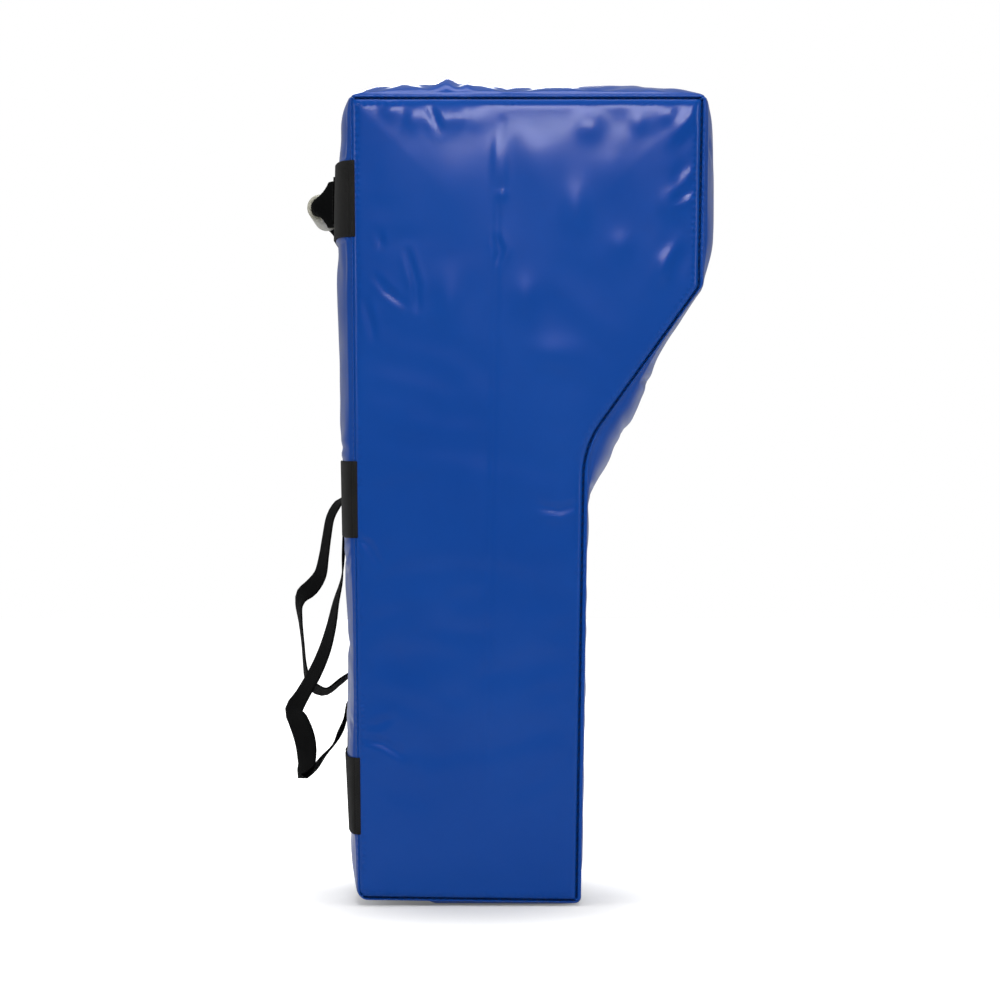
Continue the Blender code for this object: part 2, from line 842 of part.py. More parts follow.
def handle_end(name, side):
    """Sewn patch and the curling stretch up to the grip."""
    def place(column, row):
        share = min(max((row - 1) / (handle_steps - 2), 0), 1)
        x = between(handle_patch_start, handle_root + handle_straight, share)
        if row == 0:
            x = handle_patch_end
        if row == handle_steps:
            x = handle_root + handle_split_gap
        spine = between(patch_lift, handle_standoff + roll_radius, ease(share))
        turn = handle_roll_turn * ease(share * share)
        offset, rise = handle_section(turn, spine, column / handle_lanes)
        height = handle_height + rise
        lean = back_offset(height, band_gap + band_thickness) - band_face
        return Vector((side * x, band_face + offset + lean * (1 - ease(share)), height))

    bm = grid_sheet(place, handle_lanes, handle_steps, Vector((0, 1, 0)))
    end = new_object(name, bm, webbing)
    solidify(end, handle_webbing_thickness, 0)


handle_end("handle_end_right", -1)
handle_end("handle_end_left", 1)

handle_axis = bpy.data.objects.new("carry_handle_axis", None)
handle_axis.location = (0, band_face, handle_height)
parts.objects.link(handle_axis)


def grip_roll():
    """Rolled webbing inside the grip."""
    def place(column, row):
        offset, rise = handle_section(
            handle_roll_turn, handle_standoff + roll_radius, column / handle_lanes
        )
        return Vector((between(-handle_root, handle_root, row), offset, rise))

    bm = grid_sheet(place, handle_lanes, 1, Vector((0, 1, 0)))
    roll = new_object("handle_webbing", bm, webbing)
    solidify(roll, handle_webbing_thickness, 0)
    roll.parent = handle_axis


def grip_tube():
    """Plastic tube on the rolled webbing, with its origin on its own axis."""
    bm = bmesh.new()
    segments = 28
    bmesh.ops.create_circle(bm, cap_ends=False, radius=handle_tube_outer / 2, segments=segments)
    bmesh.ops.create_circle(bm, cap_ends=False, radius=handle_tube_bore / 2, segments=segments)
    bmesh.ops.bridge_loops(bm, edges=bm.edges[:])
    made = bmesh.ops.extrude_face_region(bm, geom=bm.faces[:])
    raised = [item for item in made["geom"] if isinstance(item, bmesh.types.BMVert)]
    bmesh.ops.translate(bm, verts=raised, vec=(0, 0, handle_tube_length))
    for vertex in bm.verts:
        across = vertex.co.z - handle_tube_length / 2
        vertex.co = Vector((across, vertex.co.x, vertex.co.y))
    face_outwards(bm)
    tube = new_object("grip_tube", bm, grip_plastic)
    tube.parent = handle_axis
    tube.location = (0, handle_standoff, 0)


grip_roll()
grip_tube()


# Arm loops: flat webbing sewn on the middle band and under the bottom band, hanging limp between them
loop_span = middle_low - bottom_high


def loop_stations(shares, x):
    """Centre points and twists of a loop, from shares off the panel and up the span."""
    stations = []
    for off, up, twist in shares:
        height = bottom_high + loop_span * up
        stations.append((Vector((x, back_offset(height, loop_depth * off, x), height)), twist, False))
    return stations


def split_station(x, up, twist, shift):
    """Level end of a loop piece, on the loop's swing axis, shifted off its neighbour."""
    height = bottom_high + loop_span * up
    return Vector((x, loop_axis_y, height + shift)), twist, True


def ribbon(name, stations, width, thickness):
    """Closed strip of webbing through its stations, with level ends where a station says so."""
    sections = []
    for index, (centre, twist, level) in enumerate(stations):
        ahead = stations[min(index + 1, len(stations) - 1)][0]
        behind = stations[max(index - 1, 0)][0]
        heading = (ahead - behind).normalized()
        flat = Vector((0, -heading.z, heading.y))
        stretch = 1
        if level:
            stretch = 1 / abs(heading.z)
            flat = Vector((0, -math.copysign(1, heading.z), 0))
        angle = twist * math.pi / 2
        across = Vector((1, 0, 0)) * math.cos(angle) + flat * math.sin(angle)
        through = flat * math.cos(angle) - Vector((1, 0, 0)) * math.sin(angle)
        sections.append((centre, across * width / 2, through * thickness / 2 * stretch))

    def place(step, lane, side):
        centre, across, through = sections[step]
        return centre + across * (2 * lane - 1) + through * side

    bm = strip_solid(place, len(sections) - 1, 1)
    return new_object(name, bm, webbing)


loop_axis_y = back_offset((bottom_high + middle_low) / 2, loop_axis_offset, loop_place)
patch_offset = band_gap * 2 + band_thickness + loop_thickness / 2
patch_low = middle_low + (band_height / 2 - loop_sewn_length) / 2
patch_high = patch_low + loop_sewn_length


def patch_stations(x, heights):
    return [(Vector((x, back_offset(height, patch_offset, x), height)), 0, False) for height in heights]


def arm_loop(prefix, x, pieces, splits, twists, patch_heights):
    """One loop as its sewn upper end, its free loop and its sewn lower end."""
    root, free, tail = pieces
    upper_split, lower_split = splits
    gap = loop_split_gap / 2
    upper = patch_stations(x, patch_heights) + loop_stations(root, x)
    upper += [split_station(x, upper_split, twists[0], gap)]
    ribbon(prefix + "_loop_upper_end", upper, loop_width, loop_thickness)

    lower = [split_station(x, lower_split, twists[1], gap)] + loop_stations(tail, x)
    foot = bottom_high + loop_lap_gap
    lower += [(Vector((x, back_offset(foot, band_gap + loop_thickness / 2, x), foot)), 0, False)]
    ribbon(prefix + "_loop_lower_end", lower, loop_width, loop_thickness)

    middle = [split_station(x, upper_split, twists[0], -gap)] + loop_stations(free, x)
    middle += [split_station(x, lower_split, twists[1], -gap)]
    swing = bpy.data.objects.new(prefix + "_loop_axis", None)
    swing.location = (x, loop_axis_y, bottom_high + loop_span / 2)
    parts.objects.link(swing)
    local = [(centre - Vector(swing.location), twist, level) for centre, twist, level in middle]
    loop = ribbon(prefix + "_arm_loop", local, loop_width, loop_thickness)
    loop.parent = swing


arm_loop(
    "right",
    -loop_place,
    (RIGHT_ROOT_SHARES, RIGHT_FREE_SHARES, RIGHT_RETURN_SHARES),
    RIGHT_SPLIT_SHARES,
    RIGHT_SPLIT_TWIST_SHARES,
    (patch_high, patch_low, middle_low),
)
arm_loop(
    "left",
    loop_place,
    (LEFT_ROOT_SHARES, LEFT_FREE_SHARES, LEFT_RETURN_SHARES),
    LEFT_SPLIT_SHARES,
    LEFT_SPLIT_TWIST_SHARES,
    (patch_low, patch_high),
)


# Zip: tapes sewn inside the two base panels, coils under the tapes, a slider and its pull
def box_mesh(low, high):
    """Box between two corners."""
    bm = bmesh.new()
    made = bmesh.ops.create_cube(bm, size=1)
    size = high - low
    bmesh.ops.scale(bm, vec=size, verts=made["verts"])
    bmesh.ops.translate(bm, vec=(low + high) / 2, verts=made["verts"])
    return bm


tape_low = zip_recess + cover_thickness + zip_gap
tape_high = tape_low + zip_tape_thickness
coil_high = tape_low - zip_gap
coil_low = coil_high - zip_coil_height
tape_inner = zip_coil_parting / 2
for name, side in (("front", -1), ("rear", 1)):
    near = zip_line + side * tape_inner
    far = zip_line + side * (tape_inner + zip_tape_width)
    tape = box_mesh(
        Vector((-zip_length / 2, min(near, far), tape_low)),
        Vector((zip_length / 2, max(near, far), tape_high)),
    )
    new_object("zip_tape_" + name, tape, zip_nylon)
    far = zip_line + side * (tape_inner + zip_coil_width)
    coil_end = zip_length / 2 - zip_stop_length - zip_gap
    coil = box_mesh(
        Vector((-coil_end, min(near, far), coil_low)),
        Vector((coil_end, max(near, far), coil_high)),
    )
    new_object("zip_coil_" + name, coil, zip_nylon)

stop_reach = tape_inner + zip_coil_width
for name, side in (("right", -1), ("left", 1)):
    ends = (side * (zip_length / 2 - zip_stop_length), side * zip_length / 2)
    stop = box_mesh(
        Vector((min(ends), zip_line - stop_reach, coil_low)),
        Vector((max(ends), zip_line + stop_reach, coil_high)),
    )
    new_object("zip_stop_" + name, stop, zip_metal)


def unite(target, extras):
    """Unite the extra objects into the target one."""
    for extra in extras:
        extra.hide_render = True
        extra.display_type = "WIRE"
        extra.parent = target
        union = target.modifiers.new("union", "BOOLEAN")
        union.operation = "UNION"
        union.solver = "EXACT"
        union.object = extra


def cylinder_mesh(radius, length, segments):
    """Cylinder along Y, about the origin."""
    bm = bmesh.new()
    bmesh.ops.create_cone(
        bm,
        cap_ends=True,
        segments=segments,
        radius1=radius,
        radius2=radius,
        depth=length,
    )
    for vertex in bm.verts:
        vertex.co = Vector((vertex.co.x, vertex.co.z, -vertex.co.y))
    return bm


slider_x = coil_end - slider_length / 2 - slider_park
slider_top = tape_high + zip_gap + slider_plate
lower_plate_top = coil_low - zip_gap
lower_plate_low = lower_plate_top - slider_plate
eye_bore = slider_pin_radius + zip_gap
eye_outer = eye_bore + pull_eye_wall
pin_height = lower_plate_low - eye_outer - zip_gap
ear_inner = pull_width / 2 + zip_gap
# The slider's own origin is on the pin that the pull turns about
slider_origin = Vector((slider_x, zip_line, pin_height))


def slider_box(low, high, name=None):
    bm = box_mesh(Vector(low) - slider_origin, Vector(high) - slider_origin)
    if name is None:
        return new_object("zip_slider", bm, zip_metal)
    return new_object(name, bm, zip_metal, cutters)


slider = slider_box(
    (slider_x - slider_length / 2, zip_line - slider_width / 2, lower_plate_low),
    (slider_x + slider_length / 2, zip_line + slider_width / 2, lower_plate_top),
)
slider.location = slider_origin
slider_extras = [
    slider_box(
        (slider_x - slider_length / 2, zip_line - slider_width / 2, tape_high + zip_gap),
        (slider_x + slider_length / 2, zip_line + slider_width / 2, slider_top),
        "slider_upper_plate",
    ),
    slider_box(
        (slider_x - slider_post_length / 2, zip_line - slider_post / 2, lower_plate_top - slider_plate / 2),
        (slider_x + slider_post_length / 2, zip_line + slider_post / 2, slider_top - slider_plate / 2),
        "slider_post",
    ),
]
for side in (-1, 1):
    near = zip_line + side * ear_inner
    far = zip_line + side * (ear_inner + slider_ear)
    slider_extras.append(
        slider_box(
            (slider_x - slider_ear_length / 2, min(near, far), pin_height - slider_ear_length / 2),
            (slider_x + slider_ear_length / 2, max(near, far), lower_plate_low + slider_plate / 2),
            "slider_ear_" + ("front" if side < 0 else "rear"),
        )
    )
pin_mesh = cylinder_mesh(slider_pin_radius, 2 * ear_inner + slider_ear, 12)
slider_extras.append(new_object("slider_pin", pin_mesh, zip_metal, cutters))
unite(slider, slider_extras)

# Pull: a flat tab with an eye round the pin, folded back along the closed zip
pull = new_object("zip_pull", cylinder_mesh(eye_outer, pull_width, 16), zip_metal)
tab = new_object(
    "pull_tab",
    box_mesh(
        Vector((-pull_length, -pull_width / 2, -pull_thickness / 2)),
        Vector((-eye_bore - pull_eye_wall / 2, pull_width / 2, pull_thickness / 2)),
    ),
    zip_metal,
    cutters,
)
unite(pull, [tab])
bore = new_object("pull_bore", cylinder_mesh(eye_bore, pull_width * 2, 16), zip_metal, cutters)
bore.hide_render = True
bore.display_type = "WIRE"
bore.parent = pull
drill = pull.modifiers.new("bore", "BOOLEAN")
drill.operation = "DIFFERENCE"
drill.solver = "EXACT"
drill.object = bore
pull.parent = slider
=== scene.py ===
"""Tackle shield: a foam wedge in a glossy coated cover, with bands, a carry grip and two arm loops."""

import math

import bmesh
import bpy
import numpy as np
from mathutils import Matrix, Vector, noise


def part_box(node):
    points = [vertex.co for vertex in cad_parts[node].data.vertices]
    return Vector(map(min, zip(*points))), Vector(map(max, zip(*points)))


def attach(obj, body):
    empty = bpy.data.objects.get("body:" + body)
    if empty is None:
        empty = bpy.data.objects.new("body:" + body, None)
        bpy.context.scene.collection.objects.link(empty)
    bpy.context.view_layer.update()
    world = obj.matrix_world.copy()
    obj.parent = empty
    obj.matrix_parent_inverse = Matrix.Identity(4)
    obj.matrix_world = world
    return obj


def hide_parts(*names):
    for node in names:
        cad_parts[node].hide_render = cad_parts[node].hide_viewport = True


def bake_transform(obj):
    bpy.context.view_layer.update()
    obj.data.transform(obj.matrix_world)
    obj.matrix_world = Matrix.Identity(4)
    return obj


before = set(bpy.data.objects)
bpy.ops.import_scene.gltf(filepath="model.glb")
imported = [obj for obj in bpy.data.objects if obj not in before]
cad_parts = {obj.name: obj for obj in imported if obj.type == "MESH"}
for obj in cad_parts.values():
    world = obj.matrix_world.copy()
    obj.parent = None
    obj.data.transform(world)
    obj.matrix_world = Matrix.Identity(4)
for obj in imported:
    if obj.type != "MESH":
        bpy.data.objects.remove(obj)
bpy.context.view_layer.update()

# Studio: the pad stands on a pale floor before plain white. A soft box above the camera lights the side
# panel, one overhead lights the top, and others fill in from the strike face, the rear and the far side.
camera_place = (-3.2, -0.0305, 0.406)
camera_lens = 108
camera_sensor = 36
surround_level = 0.42
room_level = 0.15
backdrop_level = 0.50
room_turn = 0.35
mirrored_floor = 0.40
floor_size = 14.0
floor_drop = 0.0004
floor_shade = 0.60
floor_glow = (0.12, 1.0)
glow_span = (0.02, 0.36)
glow_shift = (0.2, 0, 0)

stage_scene = bpy.context.scene
stage_scene.view_settings.view_transform = "Standard"
camera_data = bpy.data.cameras.new("side_camera")
camera_data.lens = camera_lens
camera_data.sensor_width = camera_sensor
side_camera = bpy.data.objects.new("side_camera", camera_data)
side_camera.location = camera_place
side_camera.rotation_euler = (math.radians(90), 0, math.radians(-90))
stage_scene.collection.objects.link(side_camera)
stage_scene.camera = side_camera


def add_node(tree, kind, presets=(), **settings):
    """New node, with its settings and the presets of its inputs."""
    made = tree.nodes.new("ShaderNode" + kind)
    for title, value in settings.items():
        setattr(made, title, value)
    for title, value in dict(presets).items():
        made.inputs[title].default_value = value
    return made


def wire(tree, operation, *values):
    """Output of a Math node whose inputs are sockets or numbers."""
    made = add_node(tree, "Math", operation=operation)
    for socket, value in zip(made.inputs, values):
        if isinstance(value, bpy.types.NodeSocket):
            tree.links.new(value, socket)
        else:
            socket.default_value = value
    return made.outputs[0]


def ramp(tree, value, span, levels):
    """Smooth ramp of a value over a span, from one level to the other."""
    ends = {"From Min": span[0], "From Max": span[1], "To Min": levels[0], "To Max": levels[1]}
    made = add_node(tree, "MapRange", ends, interpolation_type="SMOOTHSTEP")
    tree.links.new(value, made.inputs["Value"])
    return made.outputs[0]


def background_rays(tree):
    """One for rays that show the background: straight from the camera, mirrored, or through glass."""
    path = add_node(tree, "LightPath").outputs
    mirrored = wire(tree, "MAXIMUM", path["Is Glossy Ray"], path["Is Transmission Ray"])
    return wire(tree, "MAXIMUM", path["Is Camera Ray"], mirrored)


surround = bpy.data.worlds.new("white_surround")
surround.use_nodes = True
stage_scene.world = surround
room = surround.node_tree
room.nodes.clear()
# The room is dim behind the camera, so that the side panel mirrors little of it, and paler beyond the pad
seen_way = add_node(room, "SeparateXYZ")
room.links.new(add_node(room, "TexCoord").outputs["Generated"], seen_way.inputs[0])
mirrored_room = ramp(room, seen_way.outputs["X"], (-room_turn, room_turn), (room_level, backdrop_level))
straight_rays = add_node(room, "LightPath").outputs["Is Camera Ray"]
backdrop_gain = wire(room, "SUBTRACT", wire(room, "MAXIMUM", straight_rays, mirrored_room), surround_level)
room_strength = wire(room, "MULTIPLY_ADD", background_rays(room), backdrop_gain, surround_level)
surround_light = add_node(room, "Background", {"Color": (1, 1, 1, 1)})
room.links.new(room_strength, surround_light.inputs["Strength"])
room.links.new(surround_light.outputs[0], add_node(room, "OutputWorld").inputs[0])

floor_mesh = bpy.data.meshes.new("studio_floor")
floor_bm = bmesh.new()
bmesh.ops.create_grid(floor_bm, x_segments=1, y_segments=1, size=floor_size / 2)
bmesh.ops.translate(floor_bm, verts=floor_bm.verts, vec=(0, 0, -floor_drop))
floor_bm.to_mesh(floor_mesh)
floor_bm.free()
studio_floor = bpy.data.objects.new("studio_floor", floor_mesh)
stage_scene.collection.objects.link(studio_floor)

# The paper glows white for the camera away from the pad, and fades to its own shade beside it, where the
# pad's shadow falls
floor_paint = bpy.data.materials.new("floor_paper")
floor_paint.use_nodes = True
paper = floor_paint.node_tree
paper.nodes.clear()
floor_shift = add_node(paper, "VectorMath", operation="ADD")
floor_shift.inputs[1].default_value = glow_shift
paper.links.new(add_node(paper, "TexCoord").outputs["Object"], floor_shift.inputs[0])
floor_reach = add_node(paper, "VectorMath", operation="LENGTH")
paper.links.new(floor_shift.outputs[0], floor_reach.inputs[0])
paper_level = ramp(paper, floor_reach.outputs["Value"], glow_span, floor_glow)
seen_straight = add_node(paper, "LightPath").outputs["Is Camera Ray"]
seen_mirrored = wire(paper, "MULTIPLY", background_rays(paper), mirrored_floor)
floor_rays = wire(paper, "MAXIMUM", seen_straight, seen_mirrored)
paper_glow = add_node(paper, "Emission")
paper.links.new(wire(paper, "MULTIPLY", floor_rays, paper_level), paper_glow.inputs["Strength"])
paper_sheet = add_node(paper, "BsdfDiffuse", {"Color": (floor_shade, floor_shade, floor_shade, 1)})
paper_sum = add_node(paper, "AddShader")
paper.links.new(paper_sheet.outputs[0], paper_sum.inputs[0])
paper.links.new(paper_glow.outputs[0], paper_sum.inputs[1])
paper.links.new(paper_sum.outputs[0], add_node(paper, "OutputMaterial").inputs["Surface"])
floor_mesh.materials.append(floor_paint)

# Each soft box: where it hangs, what it is aimed at, its width and height, and its power
SOFT_BOXES = {
    "box_over_camera": ((-3.2, -0.14, 1.76), (-0.2, -0.10, 0.50), (0.75, 0.5), 50),
    "box_overhead": ((-0.3, 0.0, 2.9), (0, 0, 0.3), (1.2, 1.2), 40),
    "box_strike_side": ((-1.6, -2.8, 1.0), (-0.1, -0.2, 0.45), (0.6, 1.2), 24),
    "box_holder_side": ((-1.3, 2.9, 1.2), (-0.1, 0.15, 0.45), (0.6, 1.2), 24),
    "box_far_side": ((3.2, 0.2, 1.7), (0.2, 0, 0.5), (0.75, 0.5), 26),
}
for box_name, (hung, aimed, (box_width, box_tall), power) in SOFT_BOXES.items():
    box_light = bpy.data.lights.new(box_name, "AREA")
    box_light.shape = "RECTANGLE"
    box_light.size = box_width
    box_light.size_y = box_tall
    box_light.energy = power
    soft_box = bpy.data.objects.new(box_name, box_light)
    soft_box.location = hung
    soft_box.rotation_euler = (Vector(aimed) - Vector(hung)).to_track_quat("-Z", "Y").to_euler()
    stage_scene.collection.objects.link(soft_box)


# Cover cloth: polyester scrim coated with glossy blue PVC. It is cut into seven panels, sewn inside out and
# turned, so every seam shows as a narrow groove, with small gathers where the needle pulled the cloth in.
cover_blue = (0.0013, 0.0415, 0.2320)
cover_light_blue = (0.0120, 0.0750, 0.3300)
cover_roughness = 0.31
cover_specular = 0.15
cover_coat = 0.13
cover_coat_roughness = 0.17
cover_tint = (0.42, 0.36, 1.0)
scrim_pitch = 0.0013
scrim_depth = 0.000003
ripple_depth = 0.00020
streak_depth = 0.000010
stitch_pitch = 0.0070
gather_depth = 0.00035
gather_away = 0.0046
gather_breadth = 0.0019


def named_group(name, inputs, outputs):
    """Node group with its own sockets: returns its tree, its inputs' sockets and its outputs' node."""
    tree = bpy.data.node_groups.new(name, "ShaderNodeTree")
    for title, preset in inputs:
        socket = tree.interface.new_socket(name=title, in_out="INPUT", socket_type="NodeSocketFloat")
        socket.default_value = preset
    for title in outputs:
        tree.interface.new_socket(name=title, in_out="OUTPUT", socket_type="NodeSocketFloat")
    return tree, tree.nodes.new("NodeGroupInput").outputs, tree.nodes.new("NodeGroupOutput")


def place_group(tree, group, **values):
    """Outputs of a group's node in a material, with its own values."""
    return add_node(tree, "Group", values, node_tree=group).outputs


def cut_place(tree):
    """Place on the cloth as it was cut, in metres, and its across and along."""
    uv = add_node(tree, "UVMap", uv_map="cut").outputs[0]
    parts = add_node(tree, "SeparateXYZ")
    tree.links.new(uv, parts.inputs[0])
    return uv, parts.outputs[0], parts.outputs[1]


def noise_value(tree, scale, detail, place=None, roughness=0.5, stretch=None):
    """Noise over the object's own space, or over a given place."""
    made = add_node(tree, "TexNoise", {"Scale": scale, "Detail": detail, "Roughness": roughness})
    if place is None:
        place = add_node(tree, "TexCoord").outputs["Object"]
    if stretch:
        mapping = add_node(tree, "Mapping", {"Scale": stretch})
        tree.links.new(place, mapping.inputs["Vector"])
        place = mapping.outputs[0]
    tree.links.new(place, made.inputs["Vector"])
    return made.outputs[0]


def scaled(tree, value, factor):
    return wire(tree, "MULTIPLY", value, factor)


def cosine_of(tree, value, pitch):
    return wire(tree, "COSINE", scaled(tree, value, 2 * math.pi / pitch))


def bell_of(tree, value):
    """Falls from one at nought to nothing either side."""
    return wire(tree, "POWER", math.e, scaled(tree, wire(tree, "POWER", value, 2), -1))


def sum_of(tree, *values):
    total = values[0]
    for value in values[1:]:
        total = wire(tree, "ADD", total, value)
    return total


def paint(name):
    """New material, with its node tree and its shader."""
    made = bpy.data.materials.new(name)
    made.use_nodes = True
    return made, made.node_tree, made.node_tree.nodes["Principled BSDF"]


def two_tone(tree, shader, dark, light, share):
    """Base colour that goes from dark to light with a share."""
    mix = add_node(tree, "Mix", data_type="RGBA")
    mix.inputs["A"].default_value = (*dark, 1)
    mix.inputs["B"].default_value = (*light, 1)
    tree.links.new(share, mix.inputs["Factor"])
    tree.links.new(mix.outputs["Result"], shader.inputs["Base Color"])


def relief_of(tree, shader, height, distance=1.0):
    """Bump in the shader's normal."""
    bump = add_node(tree, "Bump", {"Distance": distance})
    tree.links.new(height, bump.inputs["Height"])
    tree.links.new(bump.outputs[0], shader.inputs["Normal"])


# Scrim and ripples: the weave under the coating, and the soft unevenness of cloth over foam
cloth_relief, relief_in, relief_out = named_group(
    "coated_cloth_relief", [("Scrim", 1.0), ("Ripple", 1.0)], ["Height", "Mottle"]
)
_, cut_across, cut_along = cut_place(cloth_relief)
scrim = sum_of(
    cloth_relief,
    cosine_of(cloth_relief, cut_across, scrim_pitch),
    cosine_of(cloth_relief, cut_along, scrim_pitch),
)
broad_ripple = noise_value(cloth_relief, 9, 3)
upright_ripple = noise_value(cloth_relief, 40, 2, stretch=(1, 1, 0.22))
fine_ripple = noise_value(cloth_relief, 130, 2)
rippled = sum_of(
    cloth_relief,
    broad_ripple,
    scaled(cloth_relief, upright_ripple, 0.16),
    scaled(cloth_relief, fine_ripple, 0.02),
)
streaks = noise_value(cloth_relief, 380, 2, stretch=(1, 1, 0.10))
relief_height = sum_of(
    cloth_relief,
    scaled(cloth_relief, streaks, streak_depth),
    wire(cloth_relief, "MULTIPLY", scaled(cloth_relief, scrim, scrim_depth), relief_in["Scrim"]),
    wire(cloth_relief, "MULTIPLY", scaled(cloth_relief, rippled, ripple_depth), relief_in["Ripple"]),
)
cloth_relief.links.new(relief_height, relief_out.inputs["Height"])
cloth_relief.links.new(noise_value(cloth_relief, 6, 4), relief_out.inputs["Mottle"])

# Gathers: a small dimple beside the seam at every stitch, fading away from it. With them, a painted highlight
# that makes the cover's colour lighter right along each seam's turned edge.
seam_gathers, gathers_in, gathers_out = named_group(
    "seam_gathers", [("Depth", gather_depth)], ["Height", "Seam_highlight"]
)
gather_terms = []
seam_highlight_terms = []
for edge_name in ("side", "end"):
    seam_away, seam_along = (
        add_node(seam_gathers, "Attribute", attribute_name=edge_name + part_name).outputs["Fac"]
        for part_name in ("_gap", "_run")
    )
    off_row = scaled(seam_gathers, wire(seam_gathers, "SUBTRACT", seam_away, gather_away), 1 / gather_breadth)
    wander = scaled(seam_gathers, noise_value(seam_gathers, 60, 1), 0.004)
    dimple = cosine_of(seam_gathers, sum_of(seam_gathers, seam_along, wander), stitch_pitch)
    patchy = wire(seam_gathers, "MULTIPLY_ADD", noise_value(seam_gathers, 16, 2), 4, -1.7)
    pull = wire(seam_gathers, "MAXIMUM", patchy, 0)
    near_row = wire(seam_gathers, "MULTIPLY", dimple, bell_of(seam_gathers, off_row))
    gather_terms.append(wire(seam_gathers, "MULTIPLY", near_row, pull))
    # Painted highlight along the seam's edge: strongest at the seam, gone a few millimetres away
    seam_highlight_terms.append(wire(seam_gathers, "POWER", math.e, scaled(seam_gathers, seam_away, -420)))
gathered = wire(seam_gathers, "MULTIPLY", sum_of(seam_gathers, *gather_terms), gathers_in["Depth"])
seam_gathers.links.new(gathered, gathers_out.inputs["Height"])
seam_gathers.links.new(sum_of(seam_gathers, *seam_highlight_terms), gathers_out.inputs["Seam_highlight"])

coated_blue, blue_tree, blue_shader = paint("coated_cloth_blue")
relief = place_group(blue_tree, cloth_relief)
gathers = place_group(blue_tree, seam_gathers)
tone = wire(blue_tree, "MULTIPLY_ADD", relief["Mottle"], 0.55, -0.16)
# The painted highlight along the seams lightens the cover's colour there
tone = sum_of(blue_tree, tone, scaled(blue_tree, gathers["Seam_highlight"], 0.10))
two_tone(blue_tree, blue_shader, cover_blue, cover_light_blue, tone)
scuff = noise_value(blue_tree, 26, 4, roughness=0.6)
blue_gloss = wire(blue_tree, "MULTIPLY_ADD", scuff, 0.14, cover_roughness - 0.07)
blue_tree.links.new(blue_gloss, blue_shader.inputs["Roughness"])
blue_shader.inputs["Specular IOR Level"].default_value = cover_specular
blue_shader.inputs["Specular Tint"].default_value = (*cover_tint, 1)
blue_shader.inputs["Coat Weight"].default_value = cover_coat
blue_shader.inputs["Coat Roughness"].default_value = cover_coat_roughness
relief_of(blue_tree, blue_shader, sum_of(blue_tree, relief["Height"], gathers["Height"]))

# The fold line is the pad's outline seen from the side, as (depth, height) of each corner, from the back's
# foot up and over. The seam runs a little inside it, except up the back, where it lies on the fold.
pad_half = 0.200
cover_thickness = 0.0009
FOLD_CORNERS = (
    (0.1115, 0.0060),
    (0.1195, 0.8110),
    (-0.2370, 0.8110),
    (-0.2335, 0.6210),
    (-0.1190, 0.4620),
    (-0.1115, 0.0030),
)
FOLD_RADII = (0.010, 0.0045, 0.0050, 0.010, 0.100, 0.006)
SEAM_INSETS = (0.0022, 0.0022, 0.0034, 0.0014, 0.0038, 0.0016)
groove_width = 0.0022
back_groove_width = -0.0004
least_seam_radius = 0.0010


class FoldLine:
    """Closed line of straight runs and rounded corners, in the plane of depth and height."""

    def __init__(self, corners, radii):
        self.corners = corners
        self.radii = radii

    def bend(self, index, first=0, last=1):
        """Length of part of a rounded corner, and a function for the place and heading along it."""
        count = len(self.corners)
        corner = self.corners[index % count]
        arriving = (corner - self.corners[(index - 1) % count]).normalized()
        leaving = (self.corners[(index + 1) % count] - corner).normalized()
        crossed = arriving.x * leaving.y - arriving.y * leaving.x
        turn = math.atan2(crossed, arriving.dot(leaving))
        radius = self.radii[index % count]
        start = corner - arriving * radius * math.tan(abs(turn) / 2)
        centre = start + Vector((-arriving.y, arriving.x)) * math.copysign(radius, turn)

        def place(share):
            turned = Matrix.Rotation(turn * (first + (last - first) * share), 2)
            return centre + turned @ (start - centre), turned @ arriving

        return radius * abs(turn) * (last - first), place

    def straight(self, index):
        here = self.bend(index)[1](1)[0]
        there = self.bend(index + 1)[1](0)[0]
        heading = (there - here).normalized()
        return (there - here).length, lambda share: (here.lerp(there, share), heading)

    def walk(self, first, last, whole_corners=False):
        """Pieces from the middle of one corner to the middle of another, or of whole corners."""
        head = 0 if whole_corners else 1 / 2
        pieces = [self.bend(first, head, 1)]
        for index in range(first, last):
            pieces.append(self.straight(index))
            if index + 1 < last:
                pieces.append(self.bend(index + 1))
        pieces.append(self.bend(last, 0, 1 - head))
        return pieces


def walk_length(pieces):
    return sum(length for length, _ in pieces)


def stop_on(pieces, distance):
    """Number of the piece, and share of it, at a distance along a walk."""
    left = min(max(distance, 0), walk_length(pieces))
    for number, (length, _) in enumerate(pieces):
        if left <= length or number == len(pieces) - 1:
            return number, min(left / length, 1)
        left -= length


def inset_corners(insets):
    """Corners of a line inside the fold line, each where its two inset edges meet."""
    moved = []
    count = len(FOLD_CORNERS)
    for index in range(count):
        corner = Vector(FOLD_CORNERS[index])
        arriving = (corner - Vector(FOLD_CORNERS[index - 1])).normalized()
        leaving = (Vector(FOLD_CORNERS[(index + 1) % count]) - corner).normalized()
        inward = Vector((-arriving.y, arriving.x))
        next_inward = Vector((-leaving.y, leaving.x))
        span = inward.x * next_inward.y - inward.y * next_inward.x
        near, far = insets[index - 1], insets[index]
        shift = Vector((near * next_inward.y - far * inward.y, far * inward.x - near * next_inward.x))
        moved.append(corner + shift / span)
    return moved


def inset_line(insets):
    radii = [max(radius - insets[index], least_seam_radius) for index, radius in enumerate(FOLD_RADII)]
    return FoldLine(inset_corners(insets), radii)


fold_line = FoldLine([Vector(corner) for corner in FOLD_CORNERS], FOLD_RADII)
seam_line = inset_line(SEAM_INSETS)
panel_insets = [inset + groove_width for inset in SEAM_INSETS]
panel_insets[0] = SEAM_INSETS[0] + back_groove_width
panel_line = inset_line(panel_insets)


